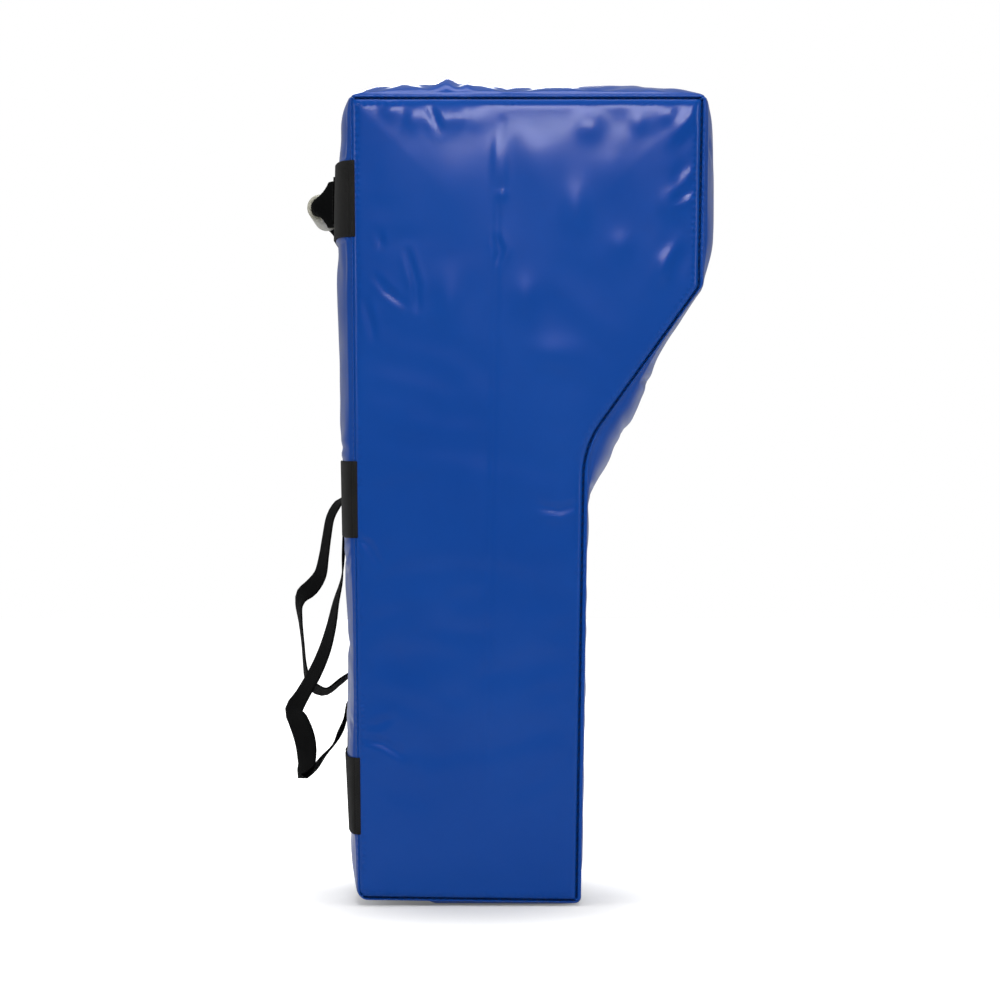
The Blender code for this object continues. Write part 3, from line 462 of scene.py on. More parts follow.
def swell(room, reach):
    """Rise of stuffed cloth at a distance from its seam: nothing at the seam, one past the reach."""
    inside = 1 - np.clip(np.asarray(room, float) / reach, 0, 1)
    return np.sqrt(np.clip(1 - inside * inside, 0, 1))


def ease(share):
    share = np.clip(share, 0, 1)
    return share * share * (3 - 2 * share)


def grid_normals(points):
    """Outward directions of a grid of points, by the cross product of its two ways."""
    down = np.gradient(points, axis=0)
    across = np.gradient(points, axis=1)
    facing = np.cross(across, down)
    return facing / np.maximum(np.linalg.norm(facing, axis=2, keepdims=True), 1e-12)


def sheet_mesh(name, points, cut):
    """Mesh of a grid of points, rows by columns, with its cut's own across and along as the UV map."""
    rows, columns = points.shape[:2]
    bm = bmesh.new()
    bm.loops.layers.uv.new("cut")
    bmesh.ops.create_grid(bm, x_segments=columns - 1, y_segments=rows - 1, size=1)
    mesh = bpy.data.meshes.new(name)
    bm.to_mesh(mesh)
    bm.free()
    flat = np.zeros(len(mesh.vertices) * 3)
    mesh.vertices.foreach_get("co", flat)
    flat = flat.reshape(-1, 3)
    column = np.rint((flat[:, 0] + 1) / 2 * (columns - 1)).astype(int)
    row = np.rint((flat[:, 1] + 1) / 2 * (rows - 1)).astype(int)
    mesh.vertices.foreach_set("co", points[row, column].ravel())
    corners = np.zeros(len(mesh.loops), int)
    mesh.loops.foreach_get("vertex_index", corners)
    mesh.uv_layers["cut"].data.foreach_set("uv", cut[row[corners], column[corners]].astype(float).ravel())
    mesh.shade_smooth()
    mesh.update()
    return mesh, row, column


def blurred(values, reach):
    """A grid of values smoothed over a reach of cells, so that what is left over is only wrinkles."""
    steps = np.arange(-3 * reach, 3 * reach + 1)
    weights = np.exp(-((steps / reach) ** 2) / 2)
    weights /= weights.sum()
    for axis in (0, 1):
        widths = [(0, 0), (0, 0)]
        widths[axis] = (3 * reach, 3 * reach)
        wide = np.pad(values, widths, mode="edge")
        values = np.apply_along_axis(lambda line: np.convolve(line, weights, mode="valid"), axis, wide)
    return values


def uneven(places, size, height):
    """Soft unevenness of the foam behind the cloth: noise of a given size and height at each place."""
    flat = places.reshape(-1, 3) / size
    found = [noise.noise(Vector(place)) for place in flat]
    return np.array(found).reshape(places.shape[:2]) * height


# How the cover's cloth settles: supple, hard to stretch, and pulled back only softly where it is held
CLOTH_SETTINGS = {
    "quality": 4,
    "mass": 0.25,
    "tension_stiffness": 25,
    "compression_stiffness": 25,
    "shear_stiffness": 10,
    "bending_stiffness": 0.4,
    "vertex_group_mass": "held",
    "pin_stiffness": 1.2,
    "use_pressure": True,
}
settle_steps = 20
settle_blur = 5


def settle_cloth(points, hold, slack, pressure, most_out, most_in):
    """How far the cloth of a panel rises from its cut shape once it has settled on the foam."""
    mesh, row, column = sheet_mesh("settling", points, points[:, :, :2])
    settling = bpy.data.objects.new("settling", mesh)
    stage_scene.collection.objects.link(settling)
    held = settling.vertex_groups.new(name="held")
    levels = np.round(hold[row, column], 2)
    for level in np.unique(levels):
        held.add(np.nonzero(levels == level)[0].tolist(), float(level), "REPLACE")
    cloth = settling.modifiers.new("cloth", "CLOTH")
    for title, value in CLOTH_SETTINGS.items():
        setattr(cloth.settings, title, value)
    cloth.settings.shrink_min = -slack
    cloth.settings.uniform_pressure_force = pressure
    cloth.settings.effector_weights.gravity = 0
    cloth.collision_settings.use_collision = False
    for step in range(settle_steps):
        stage_scene.frame_set(step + 1)
    graph = bpy.context.evaluated_depsgraph_get()
    settled = settling.evaluated_get(graph).data
    found = np.zeros(len(mesh.vertices) * 3)
    settled.vertices.foreach_get("co", found)
    moved = np.zeros_like(points)
    moved[row, column] = found.reshape(-1, 3) - points[row, column]
    bpy.data.objects.remove(settling)
    bpy.data.meshes.remove(mesh)
    stage_scene.frame_set(1)
    rise = (moved * grid_normals(points)).sum(axis=2)
    rise = rise - blurred(rise, settle_blur)
    return np.where(rise > 0, most_out * np.tanh(rise / most_out), most_in * np.tanh(rise / most_in))


def spread_rise(rise, shape):
    """A coarse grid of rises read at every place of a grid that is twice as fine."""
    down = np.linspace(0, rise.shape[0] - 1, shape[0])
    over = np.linspace(0, rise.shape[1] - 1, shape[1])
    row = np.minimum(down.astype(int), rise.shape[0] - 2)
    column = np.minimum(over.astype(int), rise.shape[1] - 2)
    row_share = (down - row)[:, None]
    column_share = (over - column)[None, :]
    upper = rise[row][:, column] * (1 - column_share) + rise[row][:, column + 1] * column_share
    lower = rise[row + 1][:, column] * (1 - column_share) + rise[row + 1][:, column + 1] * column_share
    return blurred(upper * (1 - row_share) + lower * row_share, 2)


def nearest_on(flat, line):
    """Distance from each place of the flat cloth to a line, how far along it that is, and its length."""
    nearest = np.full(flat.shape[:-1], 9.0)
    along = np.zeros(flat.shape[:-1])
    passed = 0
    for start, end in zip(line, line[1:]):
        run = end - start
        length = np.linalg.norm(run)
        share = np.clip(((flat - start) @ run) / (length * length), 0, 1)
        away = np.linalg.norm(flat - start - share[..., None] * run, axis=-1)
        closer = away < nearest
        nearest = np.where(closer, away, nearest)
        along = np.where(closer, passed + share * length, along)
        passed += length
    return nearest, along, passed


# Each lip of a crease: its height as a share of the depth, then its place and half width in breadths
lip_height, lip_place, lip_half = 0.45, 2.1, 1.2


def crease(flat, line, depth, breadth):
    """Rise of a crease along a line on the flat cloth: a valley between soft lips, fading at its ends."""
    nearest, along, length = nearest_on(flat, np.asarray(line, float))
    fade = np.sqrt(np.clip(np.sin(np.pi * np.clip(along / length, 0.02, 0.98)), 0, 1))
    valley = np.exp(-((nearest / breadth) ** 2))
    lips = np.exp(-(((nearest - lip_place * breadth) / (lip_half * breadth)) ** 2))
    return fade * (lip_height * lips - valley) * depth


def creased(flat, creases):
    """Rise of all the creases of a table."""
    return sum(crease(flat, line, depth, breadth) for line, depth, breadth in creases)


def new_piece(name, mesh, look):
    """Smooth piece of the scene in one material."""
    mesh.shade_smooth()
    mesh.materials.append(look)
    piece = bpy.data.objects.new(name, mesh)
    stage_scene.collection.objects.link(piece)
    return piece


def finish_cloth(name, points, cut, edges):
    """Object of a cover panel: its grid of points, its cut, and its distances to and along the seams."""
    mesh, row, column = sheet_mesh(name, points, cut)
    for title, values in edges.items():
        layer = mesh.attributes.new(title, "FLOAT", "POINT")
        layer.data.foreach_set("value", values[row, column].astype(np.float32))
    panel = new_piece(name, mesh, coated_blue)
    wall = panel.modifiers.new("cloth", "SOLIDIFY")
    wall.thickness = cover_thickness
    wall.offset = -1
    return panel


# Side panels: the two flat wedges of the cover, each one piece of cloth, swollen by the foam behind it.
# Their edges turn in at the seam, and they carry the crease where the two foam slabs meet.
edge_crown, edge_reach = 0.0032, 0.009
broad_crown, broad_reach = 0.0026, 0.150
crown_reach = 0.060
side_columns = 121
row_step = 0.0030
turned_edge = ((0.0034, 0.0004), (0.0009, 0.0003))
# While the cloth settles: how near a seam holds it, the least hold, and the push of the foam. Then the reach
# over which its wrinkles fade towards a seam, the side panels' slack, and their highest and deepest wrinkles
hold_reach, least_hold, foam_push = 0.012, 0.06, 4.0
seam_fade = 0.008
side_slack, side_wrinkles = 0.010, (0.0004, 0.0003)

back_walk = panel_line.walk(0, 1, True)
front_walk = panel_line.walk(2, 5, True)


def walk_table(pieces, samples=1200):
    """Heights and places at even steps along a walk."""
    length = walk_length(pieces)
    places = []
    for step in range(samples + 1):
        number, share = stop_on(pieces, length * step / samples)
        places.append(pieces[number][1](share)[0])
    return np.array(places)


def places_at(table, heights):
    """Places of a walk's table at the given heights."""
    order = np.argsort(table[:, 1], kind="stable")
    return np.stack([np.interp(heights, table[order, 1], table[order, 0]), heights], axis=1)


def side_row_ends():
    """Back and front ends of the side panel's rows, from the base seam to the top seam."""
    back_foot, back_head = back_walk[0], back_walk[-1]
    front_head, front_foot = front_walk[0], front_walk[-1]
    backs, fronts = [], []
    for share in (0, 1 / 4, 1 / 2, 3 / 4, 1):
        backs.append(back_foot[1](share)[0])
        fronts.append(front_foot[1](1 - share)[0])
    low_back, low_front = backs[-1].y, fronts[-1].y
    high_back, high_front = back_head[1](0)[0].y, front_head[1](1)[0].y
    count = 2 * round((high_back - low_back) / row_step / 2) + 1
    steps = np.arange(1, count) / count
    back_heights = low_back + (high_back - low_back) * steps
    front_heights = low_front + (high_front - low_front) * steps
    backs = np.concatenate([np.array(backs), places_at(walk_table(back_walk), back_heights)])
    fronts = np.concatenate([np.array(fronts), places_at(walk_table(front_walk), front_heights)])
    tops = [[back_head[1](share)[0] for share in (0, 1 / 3, 2 / 3, 1)]]
    tops.append([front_head[1](1 - share)[0] for share in (0, 1 / 3, 2 / 3, 1)])
    return np.concatenate([backs, np.array(tops[0])]), np.concatenate([fronts, np.array(tops[1])])


row_backs, row_fronts = side_row_ends()
column_shares = np.linspace(0, 1, side_columns)
side_flat = row_backs[:, None] + (row_fronts - row_backs)[:, None] * column_shares[None, :, None]

seam_loop = []
for corner_number in range(len(FOLD_CORNERS)):
    round_corner = panel_line.bend(corner_number)[1]
    seam_loop += [round_corner(share)[0] for share in np.linspace(0, 1, 7)]
side_gap, side_run, _ = nearest_on(side_flat, np.array(seam_loop + seam_loop[:1]))

# Creases of the right side panel and of the left one: points in depth and height, valley depth, breadth
FOAM_PARTING = ((-0.0325, 0.786), (-0.0275, 0.691), (-0.0240, 0.480), (-0.0155, 0.116))
RIGHT_CREASES = (
    (FOAM_PARTING, 0.0007, 0.0030),
    (((-0.2290, 0.7965), (-0.2150, 0.7820), (-0.1990, 0.7640)), -0.0009, 0.0060),
    (((-0.2245, 0.738), (-0.2135, 0.722)), -0.0008, 0.0045),
    (((-0.2220, 0.716), (-0.2025, 0.704)), 0.0009, 0.0040),
    (((0.0400, 0.800), (0.0350, 0.788), (0.0300, 0.776)), 0.0008, 0.0036),
    (((0.0050, 0.798), (0.0020, 0.786), (0.0040, 0.774)), 0.0003, 0.0040),
    (((0.0945, 0.630), (0.0830, 0.615), (0.0630, 0.600)), 0.0007, 0.0032),
    (((0.0625, 0.655), (0.0530, 0.622), (0.0520, 0.596)), 0.0010, 0.0030),
    (((0.1045, 0.606), (0.0990, 0.585), (0.0955, 0.566)), 0.0009, 0.0034),
    (((0.0900, 0.674), (0.0885, 0.660)), 0.0007, 0.0032),
    (((-0.2080, 0.664), (-0.1960, 0.642), (-0.1900, 0.624)), -0.0010, 0.0060),
    (((-0.0270, 0.668), (-0.0320, 0.656), (-0.0290, 0.644)), 0.0011, 0.0030),
    (((0.1150, 0.372), (0.1000, 0.360), (0.0900, 0.340)), 0.0009, 0.0035),
    (((0.1060, 0.168), (0.0850, 0.163), (0.0650, 0.150)), 0.0010, 0.0038),
    (((0.0980, 0.180), (0.0775, 0.188)), 0.0008, 0.0034),
    (((-0.1070, 0.402), (-0.0900, 0.396), (-0.0700, 0.400)), 0.0009, 0.0040),
)
LEFT_CREASES = (
    (FOAM_PARTING, 0.0008, 0.0040),
    (((-0.2240, 0.801), (-0.2100, 0.780)), 0.0014, 0.0040),
    (((-0.1100, 0.800), (-0.1000, 0.775)), 0.0012, 0.0045),
    (((0.0700, 0.802), (0.0620, 0.778)), 0.0012, 0.0040),
    (((0.1050, 0.560), (0.0700, 0.548), (0.0400, 0.520)), 0.0008, 0.0055),
    (((0.1120, 0.240), (0.0800, 0.252), (0.0550, 0.246)), 0.0007, 0.0040),
    (((-0.1020, 0.395), (-0.0850, 0.392)), 0.0009, 0.0040),
)


# Soft bumps of the foam under the right side panel: depth, height, half breadth, half height, rise
RIGHT_BUMPS = (
    (-0.1195, 0.779, 0.009, 0.010, 0.0012),
    (-0.1680, 0.782, 0.006, 0.008, 0.0009),
    (-0.2000, 0.790, 0.006, 0.007, 0.0009),
    (0.0140, 0.7885, 0.018, 0.0085, 0.0015),
    (0.0560, 0.789, 0.007, 0.009, 0.0013),
    (0.0785, 0.795, 0.006, 0.007, 0.0010),
    (-0.0300, 0.738, 0.0045, 0.020, 0.0013),
    (-0.0320, 0.7105, 0.0032, 0.0032, 0.0009),
    (-0.1055, 0.698, 0.010, 0.018, 0.0019),
    (-0.1515, 0.660, 0.009, 0.010, 0.0012),
    (0.0205, 0.607, 0.010, 0.016, 0.0020),
    (-0.0555, 0.609, 0.009, 0.014, 0.0017),
    (-0.0820, 0.550, 0.018, 0.013, 0.0017),
    (-0.1400, 0.735, 0.018, 0.022, 0.0014),
    (0.0100, 0.725, 0.024, 0.026, 0.0013),
    (-0.0700, 0.745, 0.020, 0.022, 0.0012),
    (-0.1900, 0.640, 0.008, 0.018, 0.0014),
    (-0.2000, 0.703, 0.008, 0.010, 0.0010),
    (-0.1000, 0.470, 0.022, 0.020, 0.0008),
    (-0.0100, 0.430, 0.020, 0.016, 0.0007),
)
LEFT_BUMPS = (
    (-0.1600, 0.770, 0.014, 0.012, 0.00086),
    (-0.0700, 0.720, 0.016, 0.020, 0.00079),
    (0.0300, 0.760, 0.014, 0.014, 0.00086),
    (0.0600, 0.640, 0.014, 0.018, 0.00072),
    (-0.1200, 0.610, 0.012, 0.018, 0.00079),
    (-0.0400, 0.520, 0.018, 0.014, 0.00079),
    (0.0200, 0.330, 0.022, 0.026, 0.00065),
    (-0.0700, 0.210, 0.014, 0.020, 0.00065),
)


# Unevenness of the side panels: size, height, and how much it is drawn out upright
SIDE_UNEVEN = ((0.080, 0.0006, 1), (0.030, 0.00018, 0.6), (0.013, 0.00004, 0.3))


def side_panel(name, node, side, creases, bumps):
    """A side panel: its swell, the cloth's own wrinkles, and the creases and bumps worked in."""
    crown = edge_crown * swell(side_gap, edge_reach)
    crown += broad_crown * (1 - (1 - np.minimum(side_gap / broad_reach, 1)) ** 2)
    shape = np.zeros(side_flat.shape[:2] + (3,))
    shape[:, :, 0] = side * (pad_half + crown)
    shape[:, :, 1:] = side_flat
    order = 1 if side < 0 else -1
    hold = np.clip(1 - side_gap / hold_reach, 0, 1) + least_hold
    coarse = (slice(None, None, 2), slice(None, None, order * 2))
    rise = settle_cloth(shape[coarse], hold[coarse], side_slack, foam_push, *side_wrinkles)
    rise = spread_rise(rise, side_gap.shape)[:, ::order] + creased(side_flat, creases)
    for depth, height, half_breadth, half_height, bump_rise in bumps:
        off = (side_flat - (depth, height)) / (half_breadth, half_height)
        rise = rise + bump_rise * np.exp(-(off**2).sum(axis=2) / 2)
    for scale, height, stretch in SIDE_UNEVEN:
        rise += uneven(shape * (1, 1, stretch), scale, height)
    rise *= ease(side_gap / seam_fade)
    shape += grid_normals(shape[:, ::order])[:, ::order] * rise[:, :, None]
    edges = {"side_gap": side_gap, "side_run": side_run}
    edges["end_gap"] = np.full(side_gap.shape, 1.0)
    edges["end_run"] = np.zeros(side_gap.shape)
    shape, cut = add_turned_edges(shape, side_flat, side)
    flip = slice(None, None, order)
    edges = {title: np.pad(values, 2, mode="edge")[:, flip] for title, values in edges.items()}
    panel = finish_cloth(name, shape[:, flip], cut[:, flip], edges)
    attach(panel, "pad")
    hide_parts(node)
    return panel


def add_turned_edges(shape, cut, side):
    """The grid with two more rows and columns on every edge, turned in behind the seam."""
    wide = np.pad(shape, ((2, 2), (2, 2), (0, 0)), mode="edge")
    for ring, (deep, out) in enumerate(turned_edge):
        for edge, inner in ((ring, 3), (-1 - ring, -4)):
            for grid in (wide, wide.transpose(1, 0, 2)):
                grid[edge, :, 0] = side * (pad_half - deep)
                away = grid[edge, :, 1:] - grid[inner, :, 1:]
                away *= out / np.maximum(np.linalg.norm(away, axis=1, keepdims=True), 1e-6)
                grid[edge, :, 1:] += away
    return wide, np.pad(cut, ((2, 2), (2, 2), (0, 0)), mode="edge")


side_panel("right_side_cover", "right_side_panel", -1, RIGHT_CREASES, RIGHT_BUMPS)
side_panel("left_side_cover", "left_side_panel", 1, LEFT_CREASES, LEFT_BUMPS)

# Gussets: the strike, top, back and base panels, which run round between the two side panels. Each bulges
# between its seams, folds over the edge of the foam and meets the side panel's seam a little way in.
gusset_half = 0.1985
# Past the fold: how far out, the share of the way from fold to seam, and how far under the side panel
WRAP_STATIONS = (
    (0.1995, 0.00, 0),
    (0.2001, 0.18, 0),
    (0.2004, 0.45, 0),
    (0.2003, 0.75, 0),
    (0.1998, 0.95, 0),
    (0.1988, 1.00, 0),
    (0.1966, 1.00, 0.0002),
    (0.1956, 1.00, 0.0012),
    (0.1953, 1.00, 0.0034),
)
END_DEPTHS = (0.0026, 0.0010)
crown_columns = 133
# Columns and rows that lie closer together beside a seam, and the width which they take up
CLOSE_COLUMNS = (0.0015, 0.0035, 0.006)
CLOSE_ROWS = (0, 0.0016, 0.0036, 0.0060)
close_width = 0.009
end_gap_width = 0.0003
# For the needle's gathers: the seam's distance from the turned edge, and the fold's from the seam
turned_hem, fold_to_seam = 0.003, 0.0035
# Unevenness of the loose gussets, as size and height, and the wrinkle height from which one counts as loose
GUSSET_UNEVEN = ((0.090, 0.0018), (0.034, 0.0006))
loose_wrinkles = 0.001


def gusset_columns():
    """Across the pad: place, share from fold to seam, and reach under the side panel, from left to right."""
    near = np.array(CLOSE_COLUMNS)
    middle = gusset_half - close_width
    even = np.linspace(-middle, middle, crown_columns - 2 * len(near))
    seams_at = np.array([gusset_half])
    crown = np.concatenate([-seams_at, near - seams_at, even, seams_at - near[::-1], seams_at])
    wrap = np.array(WRAP_STATIONS)
    places = np.concatenate([-wrap[::-1, 0], crown, wrap[:, 0]])
    shares = np.concatenate([wrap[::-1, 1], np.zeros(len(crown)), wrap[:, 1]])
    beyond = np.concatenate([wrap[::-1, 2], np.zeros(len(crown)), wrap[:, 2]])
    return places[::-1], shares[::-1], beyond[::-1]


gusset_x, gusset_share, gusset_beyond = gusset_columns()


def even_rows(start, end):
    """Distances along a gusset, closer together at its two ends."""
    near = np.array(CLOSE_ROWS)
    count = 2 * round((end - start - 2 * close_width) / row_step / 2)
    even = np.linspace(start + close_width, end - close_width, count - 1)
    return np.concatenate([start + near, even, end - near[::-1]])


def gusset_shape(first, last, distances, rise_at, start_seam=True, end_seam=True):
    """Grid of a gusset: rise_at(distances, points, x) is how far it stands off the fold line."""
    outer = fold_line.walk(first, last)
    inner = seam_line.walk(first, last)
    points, seams, outs = [], [], []
    for distance in distances:
        number, share = stop_on(outer, distance)
        point, heading = outer[number][1](share)
        points.append(point)
        outs.append(Vector((heading.y, -heading.x)))
        seams.append(inner[number][1](share)[0])
    points, seams, outs = np.array(points), np.array(seams), np.array(outs)
    depths = np.zeros(len(distances))
    heads = np.arange(len(distances))
    if start_seam:
        heads = np.concatenate([[0, 0], heads])
        depths = np.concatenate([END_DEPTHS, depths])
    if end_seam:
        heads = np.concatenate([heads, [heads[-1], heads[-1]]])
        depths = np.concatenate([depths, END_DEPTHS[::-1]])
    distances, points, seams, outs = distances[heads], points[heads], seams[heads], outs[heads]
    rises = rise_at(distances[:, None], points[:, None], gusset_x[None, :])
    rises = np.where(gusset_share[None, :] > 0, 0, rises) - depths[:, None] - gusset_beyond[None, :]
    flat = points[:, None] + (seams - points)[:, None] * gusset_share[None, :, None]
    flat = flat + outs[:, None] * rises[:, :, None]
    shape = np.zeros(flat.shape[:2] + (3,))
    shape[:, :, 0] = gusset_x[None, :]
    shape[:, :, 1:] = flat
    return shape, distances, depths


def gusset(
    name, node, span, rise_at, slack, most, seams=(True, True), held_rows=None, detail=None, reshape=None
):
    """A sewn gusset: its grid, the cloth's own wrinkles, and the creases that are worked in."""
    first, last, start, end = span
    shape, distances, depths = gusset_shape(first, last, even_rows(start, end), rise_at, *seams)
    if reshape is not None:
        shape = reshape(shape)
    across = np.abs(gusset_x)[None, :] * np.ones((len(distances), 1))
    side_away = np.maximum(gusset_half - across, 0) + turned_hem + fold_to_seam * (1 - gusset_share)[None, :]
    start_away = distances - start + (0 if seams[0] else 1)
    finish_away = end - distances + (0 if seams[1] else 1)
    end_away = np.minimum(start_away, finish_away)[:, None] * np.ones((1, len(gusset_x)))
    room = np.minimum(np.maximum(gusset_half - across, 0), end_away)
    hold = np.clip(1 - room / hold_reach, 0, 1) + least_hold
    if held_rows is not None:
        hold = np.maximum(hold, held_rows(shape))
    rise = settle_cloth(shape[::2, ::2], hold[::2, ::2], slack, foam_push, most, most / 2)
    rise = spread_rise(rise, room.shape)
    if detail is not None:
        rise = rise + detail(shape, distances)
    if most > loose_wrinkles:
        rise += sum(uneven(shape, size, height) for size, height in GUSSET_UNEVEN)
    rise *= ease(room / seam_fade)
    if held_rows is not None:
        rise *= 1 - held_rows(shape)
    shape = shape + grid_normals(shape) * rise[:, :, None]
    edges = {"side_gap": side_away, "end_gap": end_away}
    edges["side_run"] = distances[:, None] * np.ones((1, len(gusset_x)))
    edges["end_run"] = gusset_x[None, :] * np.ones((len(distances), 1))
    cut = np.stack([edges["end_run"], edges["side_run"]], axis=2)
    panel = finish_cloth(name, shape, cut, edges)
    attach(panel, "pad")
    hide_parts(node)
    return panel


BAND_EDGES = ((0.0745, 0.1495), (0.3705, 0.4455), (0.6700, 0.7450))
# How deep a band presses into the cloth at its edges, and how far beside them
band_press, band_press_reach = 0.0006, 0.004
back_crown = 0.018
# Where the back's cloth lies slack beside the top band: height, half reach, how far in
BACK_SLACK = ((0.770, 0.022, 0.0050), (0.650, 0.030, 0.0028), (0.600, 0.040, 0.0010))
CROWN_HEIGHTS = (0, 0.0745, 0.1495, 0.2600, 0.3705, 0.4455, 0.55775, 0.6700, 0.7450, 0.8110)
CROWN_SHARES = (0.42, 0.50, 0.67, 0.46, 0.73, 0.77, 0.91, 1.04, 0.92, 1.00)
strike_crown = 0.0115
nose_crown = 0.0035
elbow_crown = 0.0215
lower_crown = 0.0020
top_crown = 0.0175
top_front_crown = 0.0130
strike_length = walk_length(fold_line.walk(2, 5))
nose_distance = sum(length for length, _ in fold_line.walk(2, 3))
elbow_distance = sum(length for length, _ in fold_line.walk(2, 4))
STRIKE_KEYS = (
    (0, strike_crown),
    (nose_distance - 0.050, strike_crown),
    (nose_distance, nose_crown),
    (nose_distance + 0.050, nose_crown),
    (elbow_distance - 0.036, elbow_crown),
    (elbow_distance, elbow_crown),
    (elbow_distance + 0.062, lower_crown),
    (strike_length, lower_crown / 2),
)


def back_fullness(height):
    """How far the back bulges at a height, less where the bands draw it in."""
    return back_crown * np.interp(height, CROWN_HEIGHTS, CROWN_SHARES)


def strike_fullness(distance):
    """How far the strike face bulges, at a distance along it from the top seam."""
    found = np.zeros(np.shape(distance))
    for (low, crown), (high, next_crown) in zip(STRIKE_KEYS, STRIKE_KEYS[1:]):
        within = (distance >= low) & (distance <= high)
        found = np.where(within, crown + (next_crown - crown) * ease((distance - low) / (high - low)), found)
    return found


def crowned(length, fullness):
    """Bulge of a gusset between its four seams."""

    def rise_at(distance, point, x):
        ends = np.minimum(distance, length - distance)
        sides = gusset_half - np.abs(x)
        return fullness(distance, point) * swell(ends, crown_reach) * swell(sides, crown_reach)

    return rise_at


def band_hold(shape):
    """The cloth can't move where the bands press on it."""
    held = np.zeros(shape.shape[:2])
    for low, high in BAND_EDGES:
        pressed = (shape[:, :, 2] > low - band_press_reach) & (shape[:, :, 2] < high + band_press_reach)
        held = np.maximum(held, pressed * 1.0)
    return held


def back_detail(shape, distances):
    """Where the bands press, the creases, and the slack beside the top band."""
    flat = shape[:, :, (0, 2)]
    rise = np.zeros(shape.shape[:2])
    for low, high in BAND_EDGES:
        for edge, way in ((low, -1), (high, 1)):
            away = (shape[:, :, 2] - edge) * way
            rise -= band_press * np.exp(-((away / band_press_reach) ** 2))
    rise += creased(flat, BACK_CREASES)
    for height, reach, slack in BACK_SLACK:
        rise -= slack * np.exp(-(((shape[:, :, 2] - height) / reach) ** 2))
    return rise


BACK_CREASES = (
    (((-0.196, 0.362), (-0.180, 0.352), (-0.150, 0.344)), 0.0014, 0.0040),
    (((-0.197, 0.350), (-0.182, 0.336), (-0.165, 0.330)), 0.0012, 0.0035),
    (((-0.197, 0.455), (-0.170, 0.460), (-0.130, 0.458)), 0.0012, 0.0040),
    (((0.197, 0.360), (0.175, 0.350), (0.150, 0.345)), 0.0014, 0.0040),
    (((0.196, 0.470), (0.165, 0.480)), 0.0012, 0.0045),
    (((-0.120, 0.660), (-0.060, 0.640), (0.010, 0.652)), 0.0010, 0.0070),
    (((0.030, 0.560), (0.110, 0.545), (0.170, 0.560)), 0.0009, 0.0070),
    (((-0.190, 0.250), (-0.120, 0.262), (-0.050, 0.255)), 0.0009, 0.0060),
    (((0.020, 0.040), (0.100, 0.050), (0.180, 0.044)), 0.0010, 0.0050),
    (((-0.197, 0.180), (-0.178, 0.184)), 0.0012, 0.0035),
)
back_length = walk_length(fold_line.walk(0, 1))
gusset(
    "back_cover",
    "back_panel",
    (0, 1, end_gap_width, back_length - end_gap_width),
    crowned(back_length, lambda distance, point: back_fullness(point[..., 1])),
    0.016,
    0.0020,
    held_rows=band_hold,
    detail=back_detail,
)

STRIKE_CREASES = (
    (((-0.197, 0.300), (-0.165, 0.296), (-0.120, 0.300)), 0.0016, 0.0045),
    (((-0.195, 0.340), (-0.150, 0.352), (-0.080, 0.348)), 0.0013, 0.0060),
    (((0.197, 0.310), (0.160, 0.322), (0.100, 0.330)), 0.0015, 0.0050),
    (((-0.060, 0.365), (0.020, 0.358), (0.120, 0.366)), 0.0012, 0.0060),
    (((-0.197, 0.225), (-0.170, 0.232)), 0.0012, 0.0040),
    (((-0.197, 0.045), (-0.170, 0.060)), 0.0014, 0.0040),
    (((0.197, 0.050), (0.172, 0.062)), 0.0014, 0.0040),
    (((-0.197, 0.425), (-0.165, 0.430)), 0.0013, 0.0040),
)


def strike_detail(shape, distances):
    flat = np.stack([shape[:, :, 0], distances[:, None] * np.ones((1, shape.shape[1]))], axis=2)
    return creased(flat, STRIKE_CREASES)


gusset(
    "strike_cover",
    "strike_panel",
    (2, 5, end_gap_width, strike_length - end_gap_width),
    crowned(strike_length, lambda distance, point: strike_fullness(distance)),
    0.016,
    0.0016,
    detail=strike_detail,
)

top_length = walk_length(fold_line.walk(1, 2))


def top_detail(shape, distances):
    """Crumpled lump near the right edge, and the slack folds."""
    flat = shape[:, :, :2]
    reach = np.exp(-(((flat[:, :, 0] - lump_middle) / lump_reach) ** 2))
    lump = sum(high * np.exp(-(((flat[:, :, 1] - middle) / half) ** 2)) for high, middle, half in TOP_LUMPS)
    return lump * reach + creased(flat, TOP_CREASES)


# The lump's place across, and its humps and dip: height, place in depth, half breadth
lump_middle, lump_reach = -0.165, 0.045
TOP_LUMPS = ((0.0060, 0.0225, 0.0085), (0.0032, 0.0030, 0.0060), (-0.0022, -0.0370, 0.0060))
